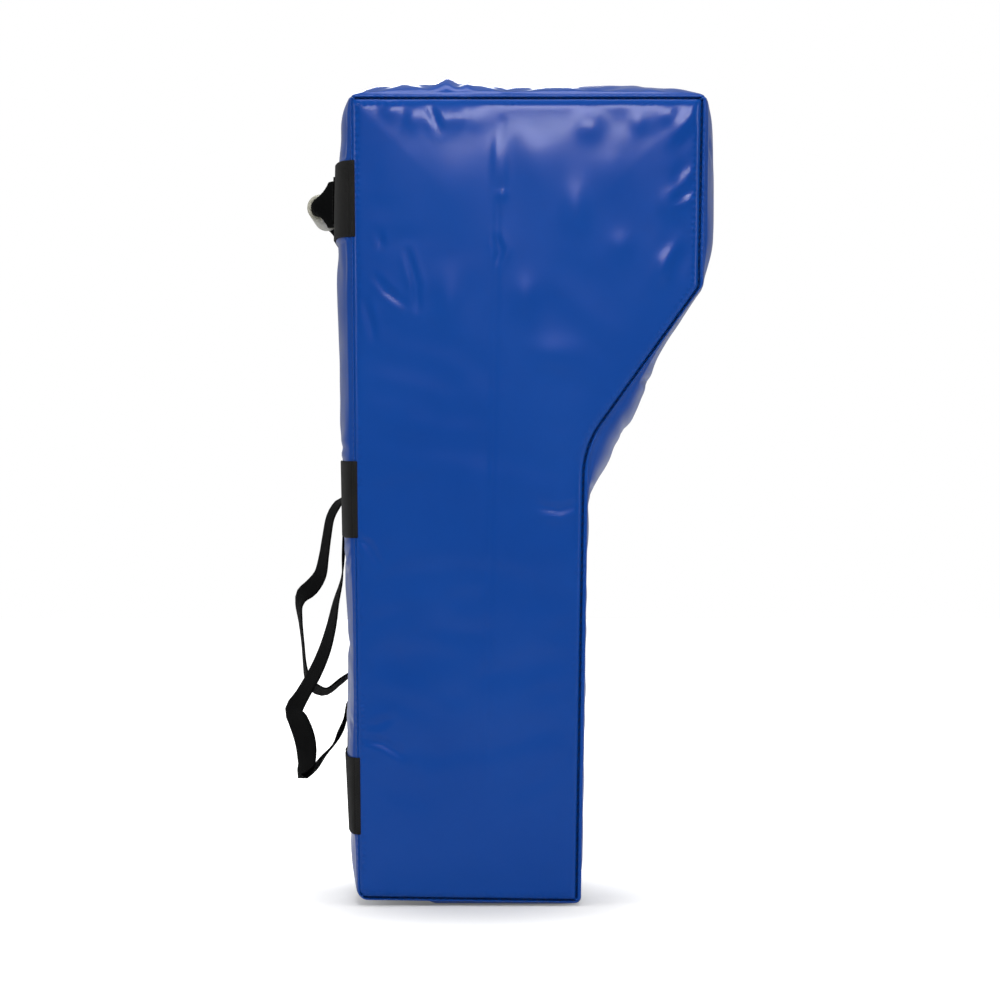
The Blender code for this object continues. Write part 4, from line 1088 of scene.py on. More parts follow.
# Slack folds of the top, most of which start at its side seams and die out inwards: line, depth, breadth
TOP_CREASES = (
    (((-0.199, 0.098), (-0.178, 0.080), (-0.146, 0.070)), 0.0010, 0.0056),
    (((-0.199, 0.036), (-0.172, 0.054), (-0.150, 0.060)), 0.0009, 0.0052),
    (((-0.199, 0.030), (-0.166, 0.000), (-0.120, -0.010)), 0.0012, 0.0062),
    (((-0.199, -0.042), (-0.176, -0.022), (-0.150, -0.016)), 0.0009, 0.0052),
    (((-0.199, -0.050), (-0.160, -0.076), (-0.112, -0.080)), 0.0011, 0.0064),
    (((-0.199, -0.122), (-0.174, -0.102), (-0.140, -0.098)), 0.0009, 0.0054),
    (((-0.199, -0.128), (-0.178, -0.150), (-0.160, -0.156)), 0.0008, 0.0052),
    (((-0.199, -0.204), (-0.168, -0.180), (-0.116, -0.170)), 0.0010, 0.0064),
    (((0.199, 0.084), (0.164, 0.058), (0.130, 0.052)), 0.0008, 0.0070),
    (((0.199, 0.002), (0.168, 0.022)), 0.0007, 0.0060),
    (((0.199, -0.030), (0.150, -0.062), (0.100, -0.070)), 0.0010, 0.0076),
    (((0.199, -0.128), (0.164, -0.104)), 0.0008, 0.0060),
    (((0.199, -0.150), (0.158, -0.184), (0.130, -0.190)), 0.0009, 0.0068),
    (((-0.062, 0.104), (-0.050, 0.060), (-0.074, 0.010)), 0.0008, 0.0090),
    (((0.060, 0.100), (0.076, 0.062), (0.070, 0.030)), 0.0007, 0.0080),
    (((0.086, -0.228), (0.064, -0.182), (0.066, -0.140)), 0.0008, 0.0080),
    (((-0.108, -0.228), (-0.086, -0.186), (-0.096, -0.140)), 0.0009, 0.0084),
    (((-0.060, -0.060), (0.000, -0.040), (0.050, -0.060)), -0.0007, 0.0110),
    (((-0.150, 0.040), (-0.120, 0.052), (-0.060, 0.045)), 0.0014, 0.0050),
    (((-0.150, -0.012), (-0.110, -0.020)), 0.0014, 0.0045),
    (((0.190, 0.030), (0.120, 0.020), (0.050, 0.030)), 0.0012, 0.0060),
    (((0.190, -0.120), (0.140, -0.110)), 0.0012, 0.0050),
    (((-0.185, -0.200), (-0.120, -0.180), (-0.040, -0.190)), 0.0010, 0.0070),
)
gusset(
    "top_cover",
    "top_panel",
    (1, 2, end_gap_width, top_length - end_gap_width),
    crowned(
        top_length,
        lambda distance, point: top_crown + (top_front_crown - top_crown) * distance / top_length,
    ),
    0.016,
    0.0014,
    detail=top_detail,
)

# Base: two panels that part along the zip. The front one lies on the ground, and both rise to a shallow
# recess that keeps the slider off it.
base_reach = 0.025
zip_line = 0.0655
zip_half_length = 0.165
zip_opening = 0.0045
zip_recess = 0.009
zip_draw_reach = 0.012
recess_edge = 0.0175
recess_slope = 0.014
base_walk = fold_line.walk(5, 6)
base_length = walk_length(base_walk)
zip_distance = base_walk[0][0] + zip_line - base_walk[1][1](0)[0].x


def base_rise(from_front):
    """Swell of a base panel down to the ground, and up to the recess for the zip."""

    def rise_at(distance, point, x):
        room = distance if from_front else base_length - distance
        lying = swell(room, base_reach) * swell(gusset_half - np.abs(x), base_reach)
        depth = np.abs(point[..., 0] - zip_line)
        raised = zip_recess * (1 - ease((depth - recess_edge) / recess_slope))
        raised = np.where(point[..., 0] > zip_line, zip_recess, raised)
        return (point[..., 1] - raised) * lying

    return rise_at


def parted(way):
    """Draw the panel's zip edge back from the zip's line, between the ends of the zip."""

    def reshape(shape):
        inside = swell(zip_half_length + zip_opening - np.abs(shape[:, :, 0]), zip_opening)
        near = ease(1 - np.abs(shape[:, :, 1] - zip_line) / zip_draw_reach)
        shape[:, :, 1] += way * zip_opening * inside * near
        return shape

    return reshape


gusset(
    "front_base_cover",
    "base_panel_front",
    (5, 6, end_gap_width, zip_distance - end_gap_width / 2),
    base_rise(True),
    0.006,
    0.0004,
    seams=(True, False),
    reshape=parted(-1),
)
gusset(
    "rear_base_cover",
    "base_panel_rear",
    (5, 6, zip_distance + end_gap_width / 2, base_length - end_gap_width),
    base_rise(False),
    0.006,
    0.0004,
    seams=(False, True),
    reshape=parted(1),
)

# Foam: three blocks of soft open-cell foam, a slab at the back, a slab at the front and the wedge above the
# elbow. They are cut oversize and squeezed into the cover, so their edges have rounded over.
foam_voxel = 0.009
foam_shrink = 0.0065
foam_smoothing = 4
foam_grey, foam_tree, foam_shader = paint("open_cell_foam")
foam_cells = add_node(foam_tree, "TexVoronoi", {"Scale": 520})
foam_tree.links.new(add_node(foam_tree, "TexCoord").outputs["Object"], foam_cells.inputs["Vector"])
two_tone(foam_tree, foam_shader, (0.60, 0.60, 0.56), (0.36, 0.36, 0.33), foam_cells.outputs["Distance"])
relief_of(foam_tree, foam_shader, foam_cells.outputs["Distance"], 0.0006)
foam_shader.inputs["Roughness"].default_value = 0.95
foam_shader.inputs["Specular IOR Level"].default_value = 0.1


def foam_block(name, node):
    """Block with rounded edges, a few millimetres inside its cover."""
    bm = bmesh.new()
    bm.from_mesh(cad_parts[node].data)
    bmesh.ops.remove_doubles(bm, verts=bm.verts, dist=0.00001)
    mesh = bpy.data.meshes.new(name)
    bm.to_mesh(mesh)
    bm.free()
    block = bpy.data.objects.new(name, mesh)
    stage_scene.collection.objects.link(block)
    skin = block.modifiers.new("skin", "REMESH")
    skin.mode = "VOXEL"
    skin.voxel_size = foam_voxel
    graph = bpy.context.evaluated_depsgraph_get()
    rounded = bpy.data.meshes.new_from_object(block.evaluated_get(graph))
    block.modifiers.clear()
    bm = bmesh.new()
    bm.from_mesh(rounded)
    bm.normal_update()
    for vertex in bm.verts:
        vertex.co -= vertex.normal * foam_shrink
    for _ in range(foam_smoothing):
        bmesh.ops.smooth_vert(
            bm, verts=bm.verts, factor=0.5, use_axis_x=True, use_axis_y=True, use_axis_z=True
        )
    bm.to_mesh(rounded)
    bm.free()
    block.data = rounded
    bpy.data.meshes.remove(mesh)
    rounded.name = name
    rounded.materials.clear()
    rounded.materials.append(foam_grey)
    rounded.shade_smooth()
    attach(block, "pad")
    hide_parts(node)


foam_block("back_slab", "back_foam_slab")
foam_block("front_slab", "front_foam_slab")
foam_block("wedge_block", "wedge_foam")

# Bands: three lengths of black 75 mm polypropylene webbing across the back, with their ends caught in the
# two side seams.
webbing_thickness = 0.0016
band_lift = 0.0005
band_lanes = 15
# Stations along a band, from its end inwards: close ones, then even ones up to the middle
BAND_CLOSE = (0.0002, 0.0006, 0.0012, 0.0020, 0.0032, 0.0048, 0.0070, 0.0100, 0.0140)
band_even_start, band_even_end, band_step = 0.019, 0.190, 0.006
# Where the loops hang, and how the bottom band laps over their tails: half width, depth of the lap, its ramp
loop_places = (-0.090, 0.090)
lap_half, lap_deep, lap_ramp = 0.027, 0.022, 0.012
# Where a band starts to run down to its right end, and how long that takes
end_shift_start, end_shift_run = 0.140, 0.058
# How round the webbing's edges are, as a share of the width of a lane
edge_round = 0.18
weave_pitch = 0.0022
weave_row = 0.0013
weave_depth = 0.00022

weave_relief, weave_in, weave_out = named_group(
    "webbing_weave", [("Pitch", weave_pitch), ("Row", weave_row), ("Depth", weave_depth)], ["Height", "Lit"]
)
weave_place, weave_across, weave_along = cut_place(weave_relief)
weave_lane = wire(weave_relief, "DIVIDE", weave_across, weave_in["Row"])
lane_number = wire(weave_relief, "FLOOR", weave_lane)
lane_odd = scaled(weave_relief, wire(weave_relief, "PINGPONG", lane_number, 1.0), 0.5)
weave_step = wire(weave_relief, "ADD", wire(weave_relief, "DIVIDE", weave_along, weave_in["Pitch"]), lane_odd)
lane_hump, step_hump = (
    wire(weave_relief, "ABSOLUTE", wire(weave_relief, "SINE", scaled(weave_relief, place, math.pi)))
    for place in (weave_lane, weave_step)
)
knuckle = wire(weave_relief, "MULTIPLY", lane_hump, wire(weave_relief, "POWER", step_hump, 0.6))
fibre = noise_value(weave_relief, 900, 2, weave_place, stretch=(1, 0.12, 1))
raised_knuckle = wire(weave_relief, "MULTIPLY_ADD", fibre, 0.22, knuckle)
weave_height = wire(weave_relief, "MULTIPLY", raised_knuckle, weave_in["Depth"])
weave_relief.links.new(weave_height, weave_out.inputs["Height"])
# The knuckles' height also sets where the painted sheen lies on them
weave_relief.links.new(raised_knuckle, weave_out.inputs["Lit"])


def webbing_material(name, dark, light, shine, pitch=weave_pitch, row=weave_row, depth=weave_depth):
    """Woven webbing or tape, with a painted sheen on the knuckles of its weave, stronger in some patches than
    others.
    """
    made, tree, shader = paint(name)
    woven = place_group(tree, weave_relief, Pitch=pitch, Row=row, Depth=depth)
    # Painted sheen: the weave's knuckles are coloured lighter, more in some patches than in others
    knuckle_sheen_patches = scaled(tree, noise_value(tree, 34, 4), 0.9)
    two_tone(tree, shader, dark, light, wire(tree, "MULTIPLY", woven["Lit"], knuckle_sheen_patches))
    shader.inputs["Roughness"].default_value = 0.75
    shader.inputs["Specular IOR Level"].default_value = shine
    relief_of(tree, shader, woven["Height"])
    return made


black_webbing = webbing_material("black_webbing", (0.0030, 0.0030, 0.0030), (0.0180, 0.0175, 0.0165), 0.15)
strap_webbing = webbing_material("strap_webbing", (0.0008, 0.0009, 0.0010), (0.0050, 0.0052, 0.0056), 0.03)


def back_surface(x, height):
    """Points of the back cover at full crown, for arrays of x and height."""
    share = (height - FOLD_CORNERS[0][1]) / (FOLD_CORNERS[1][1] - FOLD_CORNERS[0][1])
    fold = FOLD_CORNERS[0][0] + (FOLD_CORNERS[1][0] - FOLD_CORNERS[0][0]) * share
    rise = back_fullness(height) * swell(gusset_half - np.abs(x), crown_reach)
    return np.stack([x, fold + rise, height], axis=-1)


def back_depth(x, height):
    """Depth of the bulging back's cloth at one place."""
    return back_surface(np.array(x), np.array(height))[1]


def run_lengths(points):
    """Distance walked along a line of points, at each of them."""
    steps = np.linalg.norm(np.diff(points, axis=0), axis=1)
    return np.concatenate([[0], np.cumsum(steps)])


def face_outwards(bm):
    """Turn all the faces of a closed form outwards."""
    bmesh.ops.recalc_face_normals(bm, faces=bm.faces)
    if bm.calc_volume(signed=True) < 0:
        bmesh.ops.reverse_faces(bm, faces=bm.faces)


def closed_piece(name, ring, cut, look):
    """Piece from a grid whose long edges meet: these are merged, and its two ends filled."""
    mesh, _, _ = sheet_mesh(name, ring, cut)
    bm = bmesh.new()
    bm.from_mesh(mesh)
    bmesh.ops.remove_doubles(bm, verts=bm.verts, dist=0.00001)
    bmesh.ops.holes_fill(bm, edges=[edge for edge in bm.edges if edge.is_boundary], sides=0)
    face_outwards(bm)
    bm.to_mesh(mesh)
    bm.free()
    return new_piece(name, mesh, look)


def closed_strip(name, lower, upper, along, woven_as=black_webbing):
    """Closed strip of webbing between its lower and upper faces, given as grids of length by width."""
    middle = (lower + upper) / 2
    edge_out = (middle[:, :1] - middle[:, 1:2]) * edge_round
    other_out = (middle[:, -1:] - middle[:, -2:-1]) * edge_round
    ring = [upper, middle[:, -1:] + other_out, lower[:, ::-1], middle[:, :1] + edge_out, upper[:, :1]]
    ring = np.concatenate(ring, axis=1)
    wide = np.linalg.norm(np.diff(ring, axis=1), axis=2)
    across = np.concatenate([np.zeros((len(ring), 1)), np.cumsum(wide, axis=1)], axis=1)
    cut = np.stack([across, along[:, None] * np.ones((1, ring.shape[1]))], axis=2)
    return closed_piece(name, ring, cut, woven_as)


def strap_piece(name, face, through, along):
    """Strap of webbing, with half its thickness on either side of a grid of points."""
    half_wall = through * webbing_thickness / 2
    return closed_strip(name, face - half_wall, face + half_wall, along, strap_webbing)


# Past the fold each band follows the cover's edge into the side seam: how far out, and how far back
BAND_TUCK = ((0.1998, 0.0002), (0.2002, 0.0008), (0.2003, 0.0016), (0.2002, 0.0026), (0.1994, 0.0031))


def band(name, node, low, high, near_shift, lap=0.0):
    """Webbing on the bulging back: near_shift lowers its right end, lap lifts it over the loops' tails."""
    half = np.concatenate([BAND_CLOSE, np.arange(band_even_start, band_even_end, band_step)])
    edge = gusset_half + 0.0004
    x = np.concatenate([half - edge, (-band_step, 0, band_step), (edge - half)[::-1]])
    lanes = np.linspace(0, 1, band_lanes)
    heights = low + (high - low) * lanes[None, :] * np.ones((len(x), 1))
    across = x[:, None] * np.ones((1, len(lanes)))
    surface = back_surface(across, heights)
    first, last = surface[:1].copy(), surface[-1:].copy()
    for out, back in BAND_TUCK:
        for end, side in ((first, -1), (last, 1)):
            tucked = end[0] * (0, 1, 1) - (side * -out, back, 0)
            if side < 0:
                surface = np.concatenate([tucked[None], surface])
            else:
                surface = np.concatenate([surface, tucked[None]])
    across = surface[:, :, 0]
    x = across[:, 0]
    heights = surface[:, :, 2]
    outward = grid_normals(surface)
    if outward[len(x) // 2, 0, 1] < 0:
        outward = -outward
    lift = np.full(across.shape, band_lift)
    for middle in loop_places:
        over = np.exp(-(((across - middle) / lap_half) ** 6))
        lift += lap * over * ease((heights - high + lap_deep) / lap_ramp)
    shifted = surface.copy()
    shifted[:, :, 2] += near_shift * ease((-across - end_shift_start) / end_shift_run)
    lower = shifted + outward * lift[:, :, None]
    upper = shifted + outward * (lift + webbing_thickness)[:, :, None]
    made = closed_strip(name, lower, upper, run_lengths(shifted[:, band_lanes // 2]))
    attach(made, "pad")
    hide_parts(node)
    return made


band("bottom_webbing_band", "bottom_band", *BAND_EDGES[0], -0.002, lap=0.0019)
band("middle_webbing_band", "middle_band", *BAND_EDGES[1], -0.0015)
band("top_webbing_band", "top_band", *BAND_EDGES[2], 0.0)

# Arm loops: two lengths of 38 mm webbing, each sewn to the lower half of the middle band and caught under
# the bottom band, with enough slack between to hang away from the pad.
loop_half_width = 0.019
loop_step = 0.005
loop_depth = 0.064
loop_foot = BAND_EDGES[0][1]
loop_span = BAND_EDGES[1][0] - BAND_EDGES[0][1]
patch_lift = 0.0029
# Stations of each loop: how far off the pad, how far up from the bottom band to the middle one, and twist
RIGHT_LOOP = (
    (0.075, 0.90, 0.00),
    (0.120, 0.79, 0.05),
    (0.235, 0.68, 0.12),
    (0.330, 0.57, 0.18),
    (0.445, 0.460, 0.22),
    (0.590, 0.355, 0.24),
    (0.800, 0.242, 0.26),
    (0.923, 0.177, 0.34),
    (0.857, 0.130, 0.40),
    (0.775, 0.075, 0.42),
    (0.720, 0.018, 0.41),
    (0.710, -0.038, 0.37),
    (0.737, -0.094, 0.30),
    (0.815, -0.140, 0.16),
    (0.615, -0.103, 0.10),
    (0.430, -0.038, 0.05),
    (0.253, 0.018, 0.02),
    (0.160, 0.075, 0.06),
    (0.085, 0.140, 0.02),
    (0.064, 0.195, 0.00),
    (0.045, 0.218, 0.00),
    (0.028, 0.195, 0.00),
    (0.022, 0.120, 0.00),
    (0.018, 0.020, 0.00),
    (0.018, -0.050, 0.00),
)
LEFT_LOOP = (
    (0.078, 1.172, 0.00),
    (0.150, 1.170, 0.04),
    (0.290, 1.140, 0.15),
    (0.420, 1.075, 0.17),
    (0.490, 0.980, 0.18),
    (0.560, 0.880, 0.20),
    (0.640, 0.790, 0.25),
    (0.800, 0.728, 0.30),
    (0.960, 0.690, 0.27),
    (1.030, 0.640, 0.16),
    (1.020, 0.560, 0.10),
    (0.985, 0.450, 0.08),
    (0.945, 0.350, 0.09),
    (0.895, 0.280, 0.14),
    (0.800, 0.235, 0.22),
    (0.640, 0.212, 0.20),
    (0.510, 0.218, 0.12),
    (0.400, 0.243, 0.10),
    (0.297, 0.268, 0.10),
    (0.160, 0.300, 0.06),
    (0.064, 0.322, 0.02),
    (0.045, 0.336, 0.00),
    (0.028, 0.318, 0.00),
    (0.022, 0.160, 0.00),
    (0.018, 0.020, 0.00),
    (0.018, -0.050, 0.00),
)


def smooth_through(stations, step):
    """Catmull-Rom curve through rows of numbers, at even steps of about the given length."""
    stations = np.asarray(stations, float)
    padded = np.concatenate([2 * stations[:1] - stations[1:2], stations, 2 * stations[-1:] - stations[-2:-1]])
    found = []
    for number in range(len(stations) - 1):
        before, here, there, after = padded[number : number + 4]
        count = max(2, round(np.linalg.norm(there[:3] - here[:3]) / step))
        for share in np.arange(count)[:, None] / count:
            square, cube = share * share, share * share * share
            found.append(
                here
                + share * (there - before) / 2
                + square * (before - 2.5 * here + 2 * there - after / 2)
                + cube * (1.5 * (here - there) + (after - before) / 2)
            )
    return np.array(found + [stations[-1]])


def arm_loop(name, nodes, x, stations, patch_heights):
    """One strap: its sewn end on the middle band, its slack, and its tail under the bottom band."""
    places = [(x, back_depth(x, height) + patch_lift, height, 0) for height in patch_heights]
    for off, up, twist in stations:
        height = loop_foot + loop_span * up
        depth = back_depth(x, height) + loop_depth * off
        places.append((x, depth, height, twist))
    line = smooth_through(places, loop_step)
    centres, twists = line[:, :3], line[:, 3] * math.pi / 2
    heading = np.gradient(centres, axis=0)
    heading /= np.linalg.norm(heading, axis=1, keepdims=True)
    flat = np.stack([np.zeros(len(line)), -heading[:, 2], heading[:, 1]], axis=1)
    side = np.array([1.0, 0, 0])
    across = side * np.cos(twists)[:, None] + flat * np.sin(twists)[:, None]
    through = flat * np.cos(twists)[:, None] - side * np.sin(twists)[:, None]
    lanes = np.linspace(-1, 1, 9)[None, :, None]
    face = centres[:, None] + across[:, None] * lanes * loop_half_width
    strap = strap_piece(name, face, through[:, None], run_lengths(centres))
    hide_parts(*nodes)
    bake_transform(strap)
    return strap


# The sewn ends are centred on the lower half of the middle band
loop_patch_tall = 0.030
middle_band_low, middle_band_high = BAND_EDGES[1]
loop_patch_low = middle_band_low + ((middle_band_high - middle_band_low) / 2 - loop_patch_tall) / 2
loop_patch_high = loop_patch_low + loop_patch_tall
arm_loop(
    "right_arm_strap",
    ("right_arm_loop", "right_loop_upper_end", "right_loop_lower_end"),
    loop_places[0],
    RIGHT_LOOP,
    (loop_patch_high, loop_patch_low, middle_band_low),
)
arm_loop(
    "left_arm_strap",
    ("left_arm_loop", "left_loop_upper_end", "left_loop_lower_end"),
    loop_places[1],
    LEFT_LOOP,
    (loop_patch_low, loop_patch_high),
)

# Carry handle: 50 mm webbing sewn flat on the top band at both ends. Between them it rolls up and runs
# through a plastic grip tube, which turns on it.
handle_height = 0.712
handle_width = 0.050
handle_face = 0.138127
handle_standoff = 0.0193
handle_patch_end = 0.135
handle_patch_start = 0.100
handle_root = 0.0665
handle_straight = 0.002
tube_outer = 0.014
tube_bore = 0.0095
roll_clearance = 0.0003
roll_radius = tube_bore - roll_clearance - webbing_thickness / 2
roll_turn = math.radians(325)
least_turn = 0.001
handle_patch_gap = 0.0005
handle_patch_lift = webbing_thickness / 2 + handle_patch_gap
handle_lanes = 25
# Stations along half of the handle, on its sewn patch and then on its free run, from the outside inwards
patch_steps = 8
run_start, run_end, run_steps = 0.0985, 0.0005, 50


def handle_half(name, nodes, side):
    """Half of the handle's webbing: the sewn patch, the curl up from the band and the roll in the tube."""
    patch = np.linspace(handle_patch_end, handle_patch_start, patch_steps)
    x = np.concatenate([patch, np.linspace(run_start, run_end, run_steps)])
    share = np.clip((handle_patch_start - x) / (handle_patch_start - handle_root - handle_straight), 0, 1)
    spine = handle_patch_lift + (handle_standoff + roll_radius - handle_patch_lift) * ease(share)
    turn = roll_turn * ease(share * share)
    lanes = np.linspace(-0.5, 0.5, handle_lanes)
    width = min(handle_width, roll_radius * roll_turn)
    angle = turn[:, None] * lanes[None, :]
    safe = np.maximum(turn, least_turn)[:, None]
    offset = spine[:, None] - width / safe * (1 - np.cos(angle))
    rise = np.where(turn[:, None] > least_turn, width / safe * np.sin(angle), width * lanes[None, :])
    height = handle_height + rise
    across = x[:, None] * np.ones((1, handle_lanes))
    lean = back_surface(across, height)[:, :, 1] - back_depth(0, handle_height)
    depth = handle_face + offset + lean * (1 - ease(share))[:, None]
    points = np.stack([side * across, depth, height], axis=2)
    outward = grid_normals(points)
    if outward[0, handle_lanes // 2, 1] < 0:
        outward = -outward
    made = strap_piece(name, points, outward, run_lengths(points[:, handle_lanes // 2]))
    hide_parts(*nodes)
    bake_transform(made)
    return made


handle_half("right_handle_webbing", ("handle_end_right", "handle_webbing"), -1)
handle_half("left_handle_webbing", ("handle_end_left",), 1)

grip_plastic, grip_tree, grip_shader = paint("grip_plastic")
grip_mottle = noise_value(grip_tree, 45, 5, roughness=0.65)
two_tone(grip_tree, grip_shader, (0.26, 0.25, 0.20), (0.40, 0.39, 0.32), grip_mottle)
grip_shader.inputs["Roughness"].default_value = 0.42
relief_of(grip_tree, grip_shader, noise_value(grip_tree, 900, 3), 0.00015)

# Section of the tube's wall: along it from the middle, and out from its axis
TUBE_WALL = (
    (0.0000, tube_outer),
    (0.0545, tube_outer),
    (0.0550, tube_outer - 0.0004),
    (0.0556, tube_outer),
    (0.0580, tube_outer),
    (0.0593, tube_outer - 0.0005),
    (0.0600, tube_outer - 0.0016),
    (0.0600, tube_bore + 0.0012),
    (0.0594, tube_bore + 0.0003),
    (0.0580, tube_bore),
    (0.0000, tube_bore),
)
bm = bmesh.new()
wall = list(TUBE_WALL) + [(-x, out) for x, out in reversed(TUBE_WALL[1:-1])]
ring = [bm.verts.new((x, 0, out)) for x, out in wall]
edges = [bm.edges.new((ring[number - 1], ring[number])) for number in range(len(ring))]
bmesh.ops.spin(
    bm,
    geom=ring + edges,
    cent=(0, 0, 0),
    axis=(1, 0, 0),
    angle=2 * math.pi,
    steps=64,
    use_merge=True,
)
face_outwards(bm)
bmesh.ops.translate(bm, verts=bm.verts, vec=(0, handle_face + handle_standoff, handle_height))
tube_mesh = bpy.data.meshes.new("grip_sleeve")
bm.to_mesh(tube_mesh)
bm.free()
grip_sleeve = new_piece("grip_sleeve", tube_mesh, grip_plastic)
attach(grip_sleeve, "grip")
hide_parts("grip_tube")

# Thread: the seams' stitches lie across the groove between the panels, and the straps are sewn down with a
# boxed cross. Each stitch is a short length of bonded nylon thread that dives in at both ends.
thread_radius = 0.00045
seam_stitch_half = 0.0025
seam_stitch_sunk = 0.0006
seam_stitch_tilt = math.radians(16)
box_stitch_pitch = 0.0036
box_stitch_half = 0.0014


def thread_material(name, dark, light):
    """Bonded thread, with its fine fibres."""
    made, tree, shader = paint(name)
    fibres = noise_value(tree, 1400, 2)
    two_tone(tree, shader, dark, light, fibres)
    shader.inputs["Roughness"].default_value = 0.55
    shader.inputs["Specular IOR Level"].default_value = 0.2
    relief_of(tree, shader, fibres, 0.00012)
    return made


navy_thread = thread_material("navy_thread", (0.0010, 0.0080, 0.0500), (0.0030, 0.0220, 0.1100))
black_thread = thread_material("black_thread", (0.0030, 0.0030, 0.0030), (0.0200, 0.0200, 0.0200))


def sew(name, stitches, thread):
    """Stitches given as (middle, along, out, half length), each a slim oval of thread."""
    bm = bmesh.new()
    for middle, along, out, half in stitches:
        along, out = Vector(along).normalized(), Vector(out).normalized()
        turned = Matrix((along, out.cross(along), out)).transposed().to_4x4()
        shaped = Matrix.Diagonal((half, thread_radius, thread_radius, 1))
        bmesh.ops.create_uvsphere(
            bm,
            u_segments=8,
            v_segments=5,
            radius=1,
            matrix=Matrix.Translation(middle) @ turned @ shaped @ Matrix.Rotation(math.pi / 2, 4, "Y"),
        )
    mesh = bpy.data.meshes.new(name)
    bm.to_mesh(mesh)
    bm.free()
    sewn = new_piece(name, mesh, thread)
    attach(sewn, "pad")
    return sewn


thread_line = inset_line([inset + groove_width / 2 for inset in SEAM_INSETS])
for side, side_name in ((-1, "right"), (1, "left")):
    seam_stitches = []
    pieces = thread_line.walk(1, 6)
    for number in range(int(walk_length(pieces) / stitch_pitch)):
        piece, share = stop_on(pieces, (number + 0.5) * stitch_pitch)
        point, heading = pieces[piece][1](share)
        heading = Matrix.Rotation(seam_stitch_tilt, 2) @ heading
        middle = (side * (pad_half - seam_stitch_sunk), point.x, point.y)
        seam_stitches.append((middle, (0, *heading), (side, 0, 0), seam_stitch_half))
    sew(side_name + "_seam_thread", seam_stitches, navy_thread)


def boxed_cross(low, high, surface):
    """Stitches of a sewn box with a cross: corners in x and height, on a surface(x, height) of the back."""
    corners = [(low[0], low[1]), (high[0], low[1]), (high[0], high[1]), (low[0], high[1])]
    lines = [(corners[number - 1], corners[number]) for number in range(4)]
    lines += [(corners[0], corners[2]), (corners[1], corners[3])]
    stitches = []
    for start, end in lines:
        start, end = Vector(start), Vector(end)
        count = round((end - start).length / box_stitch_pitch)
        for number in range(count):
            head, middle, tail = (start.lerp(end, (number + share) / count) for share in (0.1, 0.5, 0.9))
            along = Vector(surface(*tail)) - Vector(surface(*head))
            stitches.append((surface(*middle), along, (0, 1, 0), box_stitch_half))
    return stitches


def on_loop_patch(x, height):
    """Place on the outer face of a loop's sewn end."""
    return x, back_depth(x, height) + patch_lift + webbing_thickness / 2, height


def on_handle_patch(x, height):
    """Place on the outer face of one of the handle's sewn ends."""
    lean = back_depth(x, height) - back_depth(0, handle_height)
    return x, handle_face + lean + handle_patch_lift + webbing_thickness / 2, height


# The sewn boxes: the loops' half width and heights, then the handle's reach from the middle and half height
loop_box_half, loop_box_low, loop_box_high = 0.0155, loop_patch_low + 0.002, loop_patch_high - 0.003
handle_box, handle_box_half = (0.104, 0.131), 0.0205
strap_stitches = []
for x in loop_places:
    box_low, box_high = (x - loop_box_half, loop_box_low), (x + loop_box_half, loop_box_high)
    strap_stitches += boxed_cross(box_low, box_high, on_loop_patch)
sew("loop_thread", strap_stitches, black_thread)
handle_stitches = []
for side in (-1, 1):
    near, far = sorted(side * reach for reach in handle_box)
    box_low, box_high = (near, handle_height - handle_box_half), (far, handle_height + handle_box_half)
    handle_stitches += boxed_cross(box_low, box_high, on_handle_patch)
sew("handle_thread", handle_stitches, black_thread)

# Zip: a nylon coil zip in the base. Its woven tapes are sewn behind the two base panels, and each coil is one
# long spring of nylon along its tape. The slider, its pull and the stops are die-cast and pressed metal.
coil_pitch = 0.0015
coil_wire = 0.00032
coil_sides = 5
coil_turn_steps = 10
tape_lanes = 9
tape_steps = 67

tape_cloth = webbing_material(
    "zip_tape_cloth", (0.0060, 0.0062, 0.0075), (0.0260, 0.0270, 0.0300), 0.15, 0.0009, 0.0006, 0.00008
)

coil_nylon, coil_tree, coil_shader = paint("coil_nylon")
coil_dark, coil_light = (0.0080, 0.0082, 0.0095), (0.0200, 0.0205, 0.0225)
two_tone(coil_tree, coil_shader, coil_dark, coil_light, noise_value(coil_tree, 260, 3))
coil_shader.inputs["Roughness"].default_value = 0.3

zip_steel, steel_tree, steel_shader = paint("brushed_zip_metal")
steel_shader.inputs["Metallic"].default_value = 1.0
brushed = noise_value(steel_tree, 900, 3, stretch=(0.06, 1, 1))
steel_dark, steel_light = (0.27, 0.27, 0.28), (0.46, 0.46, 0.47)
two_tone(steel_tree, steel_shader, steel_dark, steel_light, noise_value(steel_tree, 130, 4))
steel_gloss = wire(steel_tree, "MULTIPLY_ADD", brushed, 0.25, 0.2)
steel_tree.links.new(steel_gloss, steel_shader.inputs["Roughness"])
relief_of(steel_tree, steel_shader, brushed, 0.00004)

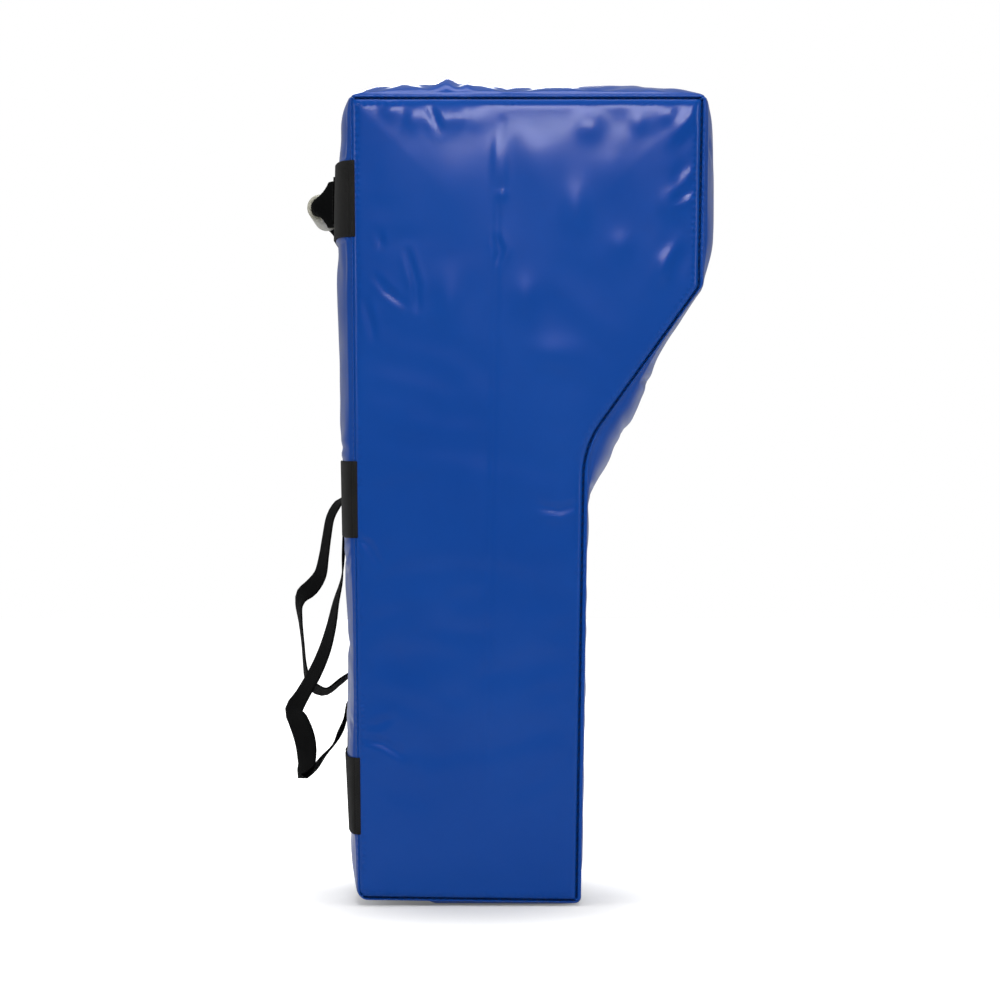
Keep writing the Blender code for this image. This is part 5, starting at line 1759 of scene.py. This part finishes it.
for place in ("front", "rear"):
    tape_low, tape_high = (Vector(corner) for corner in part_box("zip_tape_" + place))
    tape_x = np.linspace(tape_low.x, tape_high.x, tape_steps)
    tape_y = np.linspace(tape_low.y, tape_high.y, tape_lanes)
    tape_places = np.broadcast_arrays(tape_x[:, None], tape_y[None, :], tape_low.z)
    tape_grid = np.stack(tape_places, axis=2).astype(float)
    tape_top = tape_grid + (0, 0, tape_high.z - tape_low.z)
    tape = closed_strip("woven_tape_" + place, tape_grid, tape_top, tape_x, woven_as=tape_cloth)
    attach(tape, "pad")
    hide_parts("zip_tape_" + place)

    coil_low, coil_high = (Vector(corner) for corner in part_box("zip_coil_" + place))
    middle = (coil_low + coil_high) / 2
    reach = (coil_high - coil_low) / 2
    turns = int((coil_high.x - coil_low.x - 2 * coil_wire) / coil_pitch)
    wound = np.arange(turns * coil_turn_steps + 1) * 2 * math.pi / coil_turn_steps
    spine_x = coil_low.x + coil_wire + wound / (2 * math.pi) * coil_pitch
    spine_y = middle.y + (reach.y - coil_wire) * np.cos(wound)
    spine_z = middle.z + (reach.z - coil_wire) * np.sin(wound)
    spine = np.stack([spine_x, spine_y, spine_z], axis=1)
    out = np.stack([np.zeros(len(wound)), np.cos(wound), np.sin(wound)], axis=1)
    round_wire = np.linspace(0, 2 * math.pi, coil_sides + 1)
    outwards = out[:, None] * np.cos(round_wire)[None, :, None]
    sideways = np.array([1.0, 0, 0]) * np.sin(round_wire)[None, :, None]
    ring = spine[:, None] + coil_wire * (outwards + sideways)
    coil = closed_piece("nylon_coil_" + place, ring, ring[:, :, :2], coil_nylon)
    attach(coil, "pad")
    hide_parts("zip_coil_" + place)

for node in ("zip_stop_left", "zip_stop_right", "zip_slider", "zip_pull"):
    for material_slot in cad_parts[node].material_slots:
        material_slot.material = zip_steel

# Rows of stitches that hold the tapes: their start, their distance from the zip's line, height and count
zip_row_start, zip_row_away, zip_row_height, zip_row_count = -0.160, 0.0105, 0.0088, 90
zip_sewing = []
for way in (-1, 1):
    for number in range(zip_row_count):
        x = zip_row_start + box_stitch_pitch * number
        middle = (x, zip_line + way * zip_row_away, zip_row_height)
        zip_sewing.append((middle, (1, 0, 0), (0, 0, -1), box_stitch_half))
sew("zip_thread", zip_sewing, navy_thread)
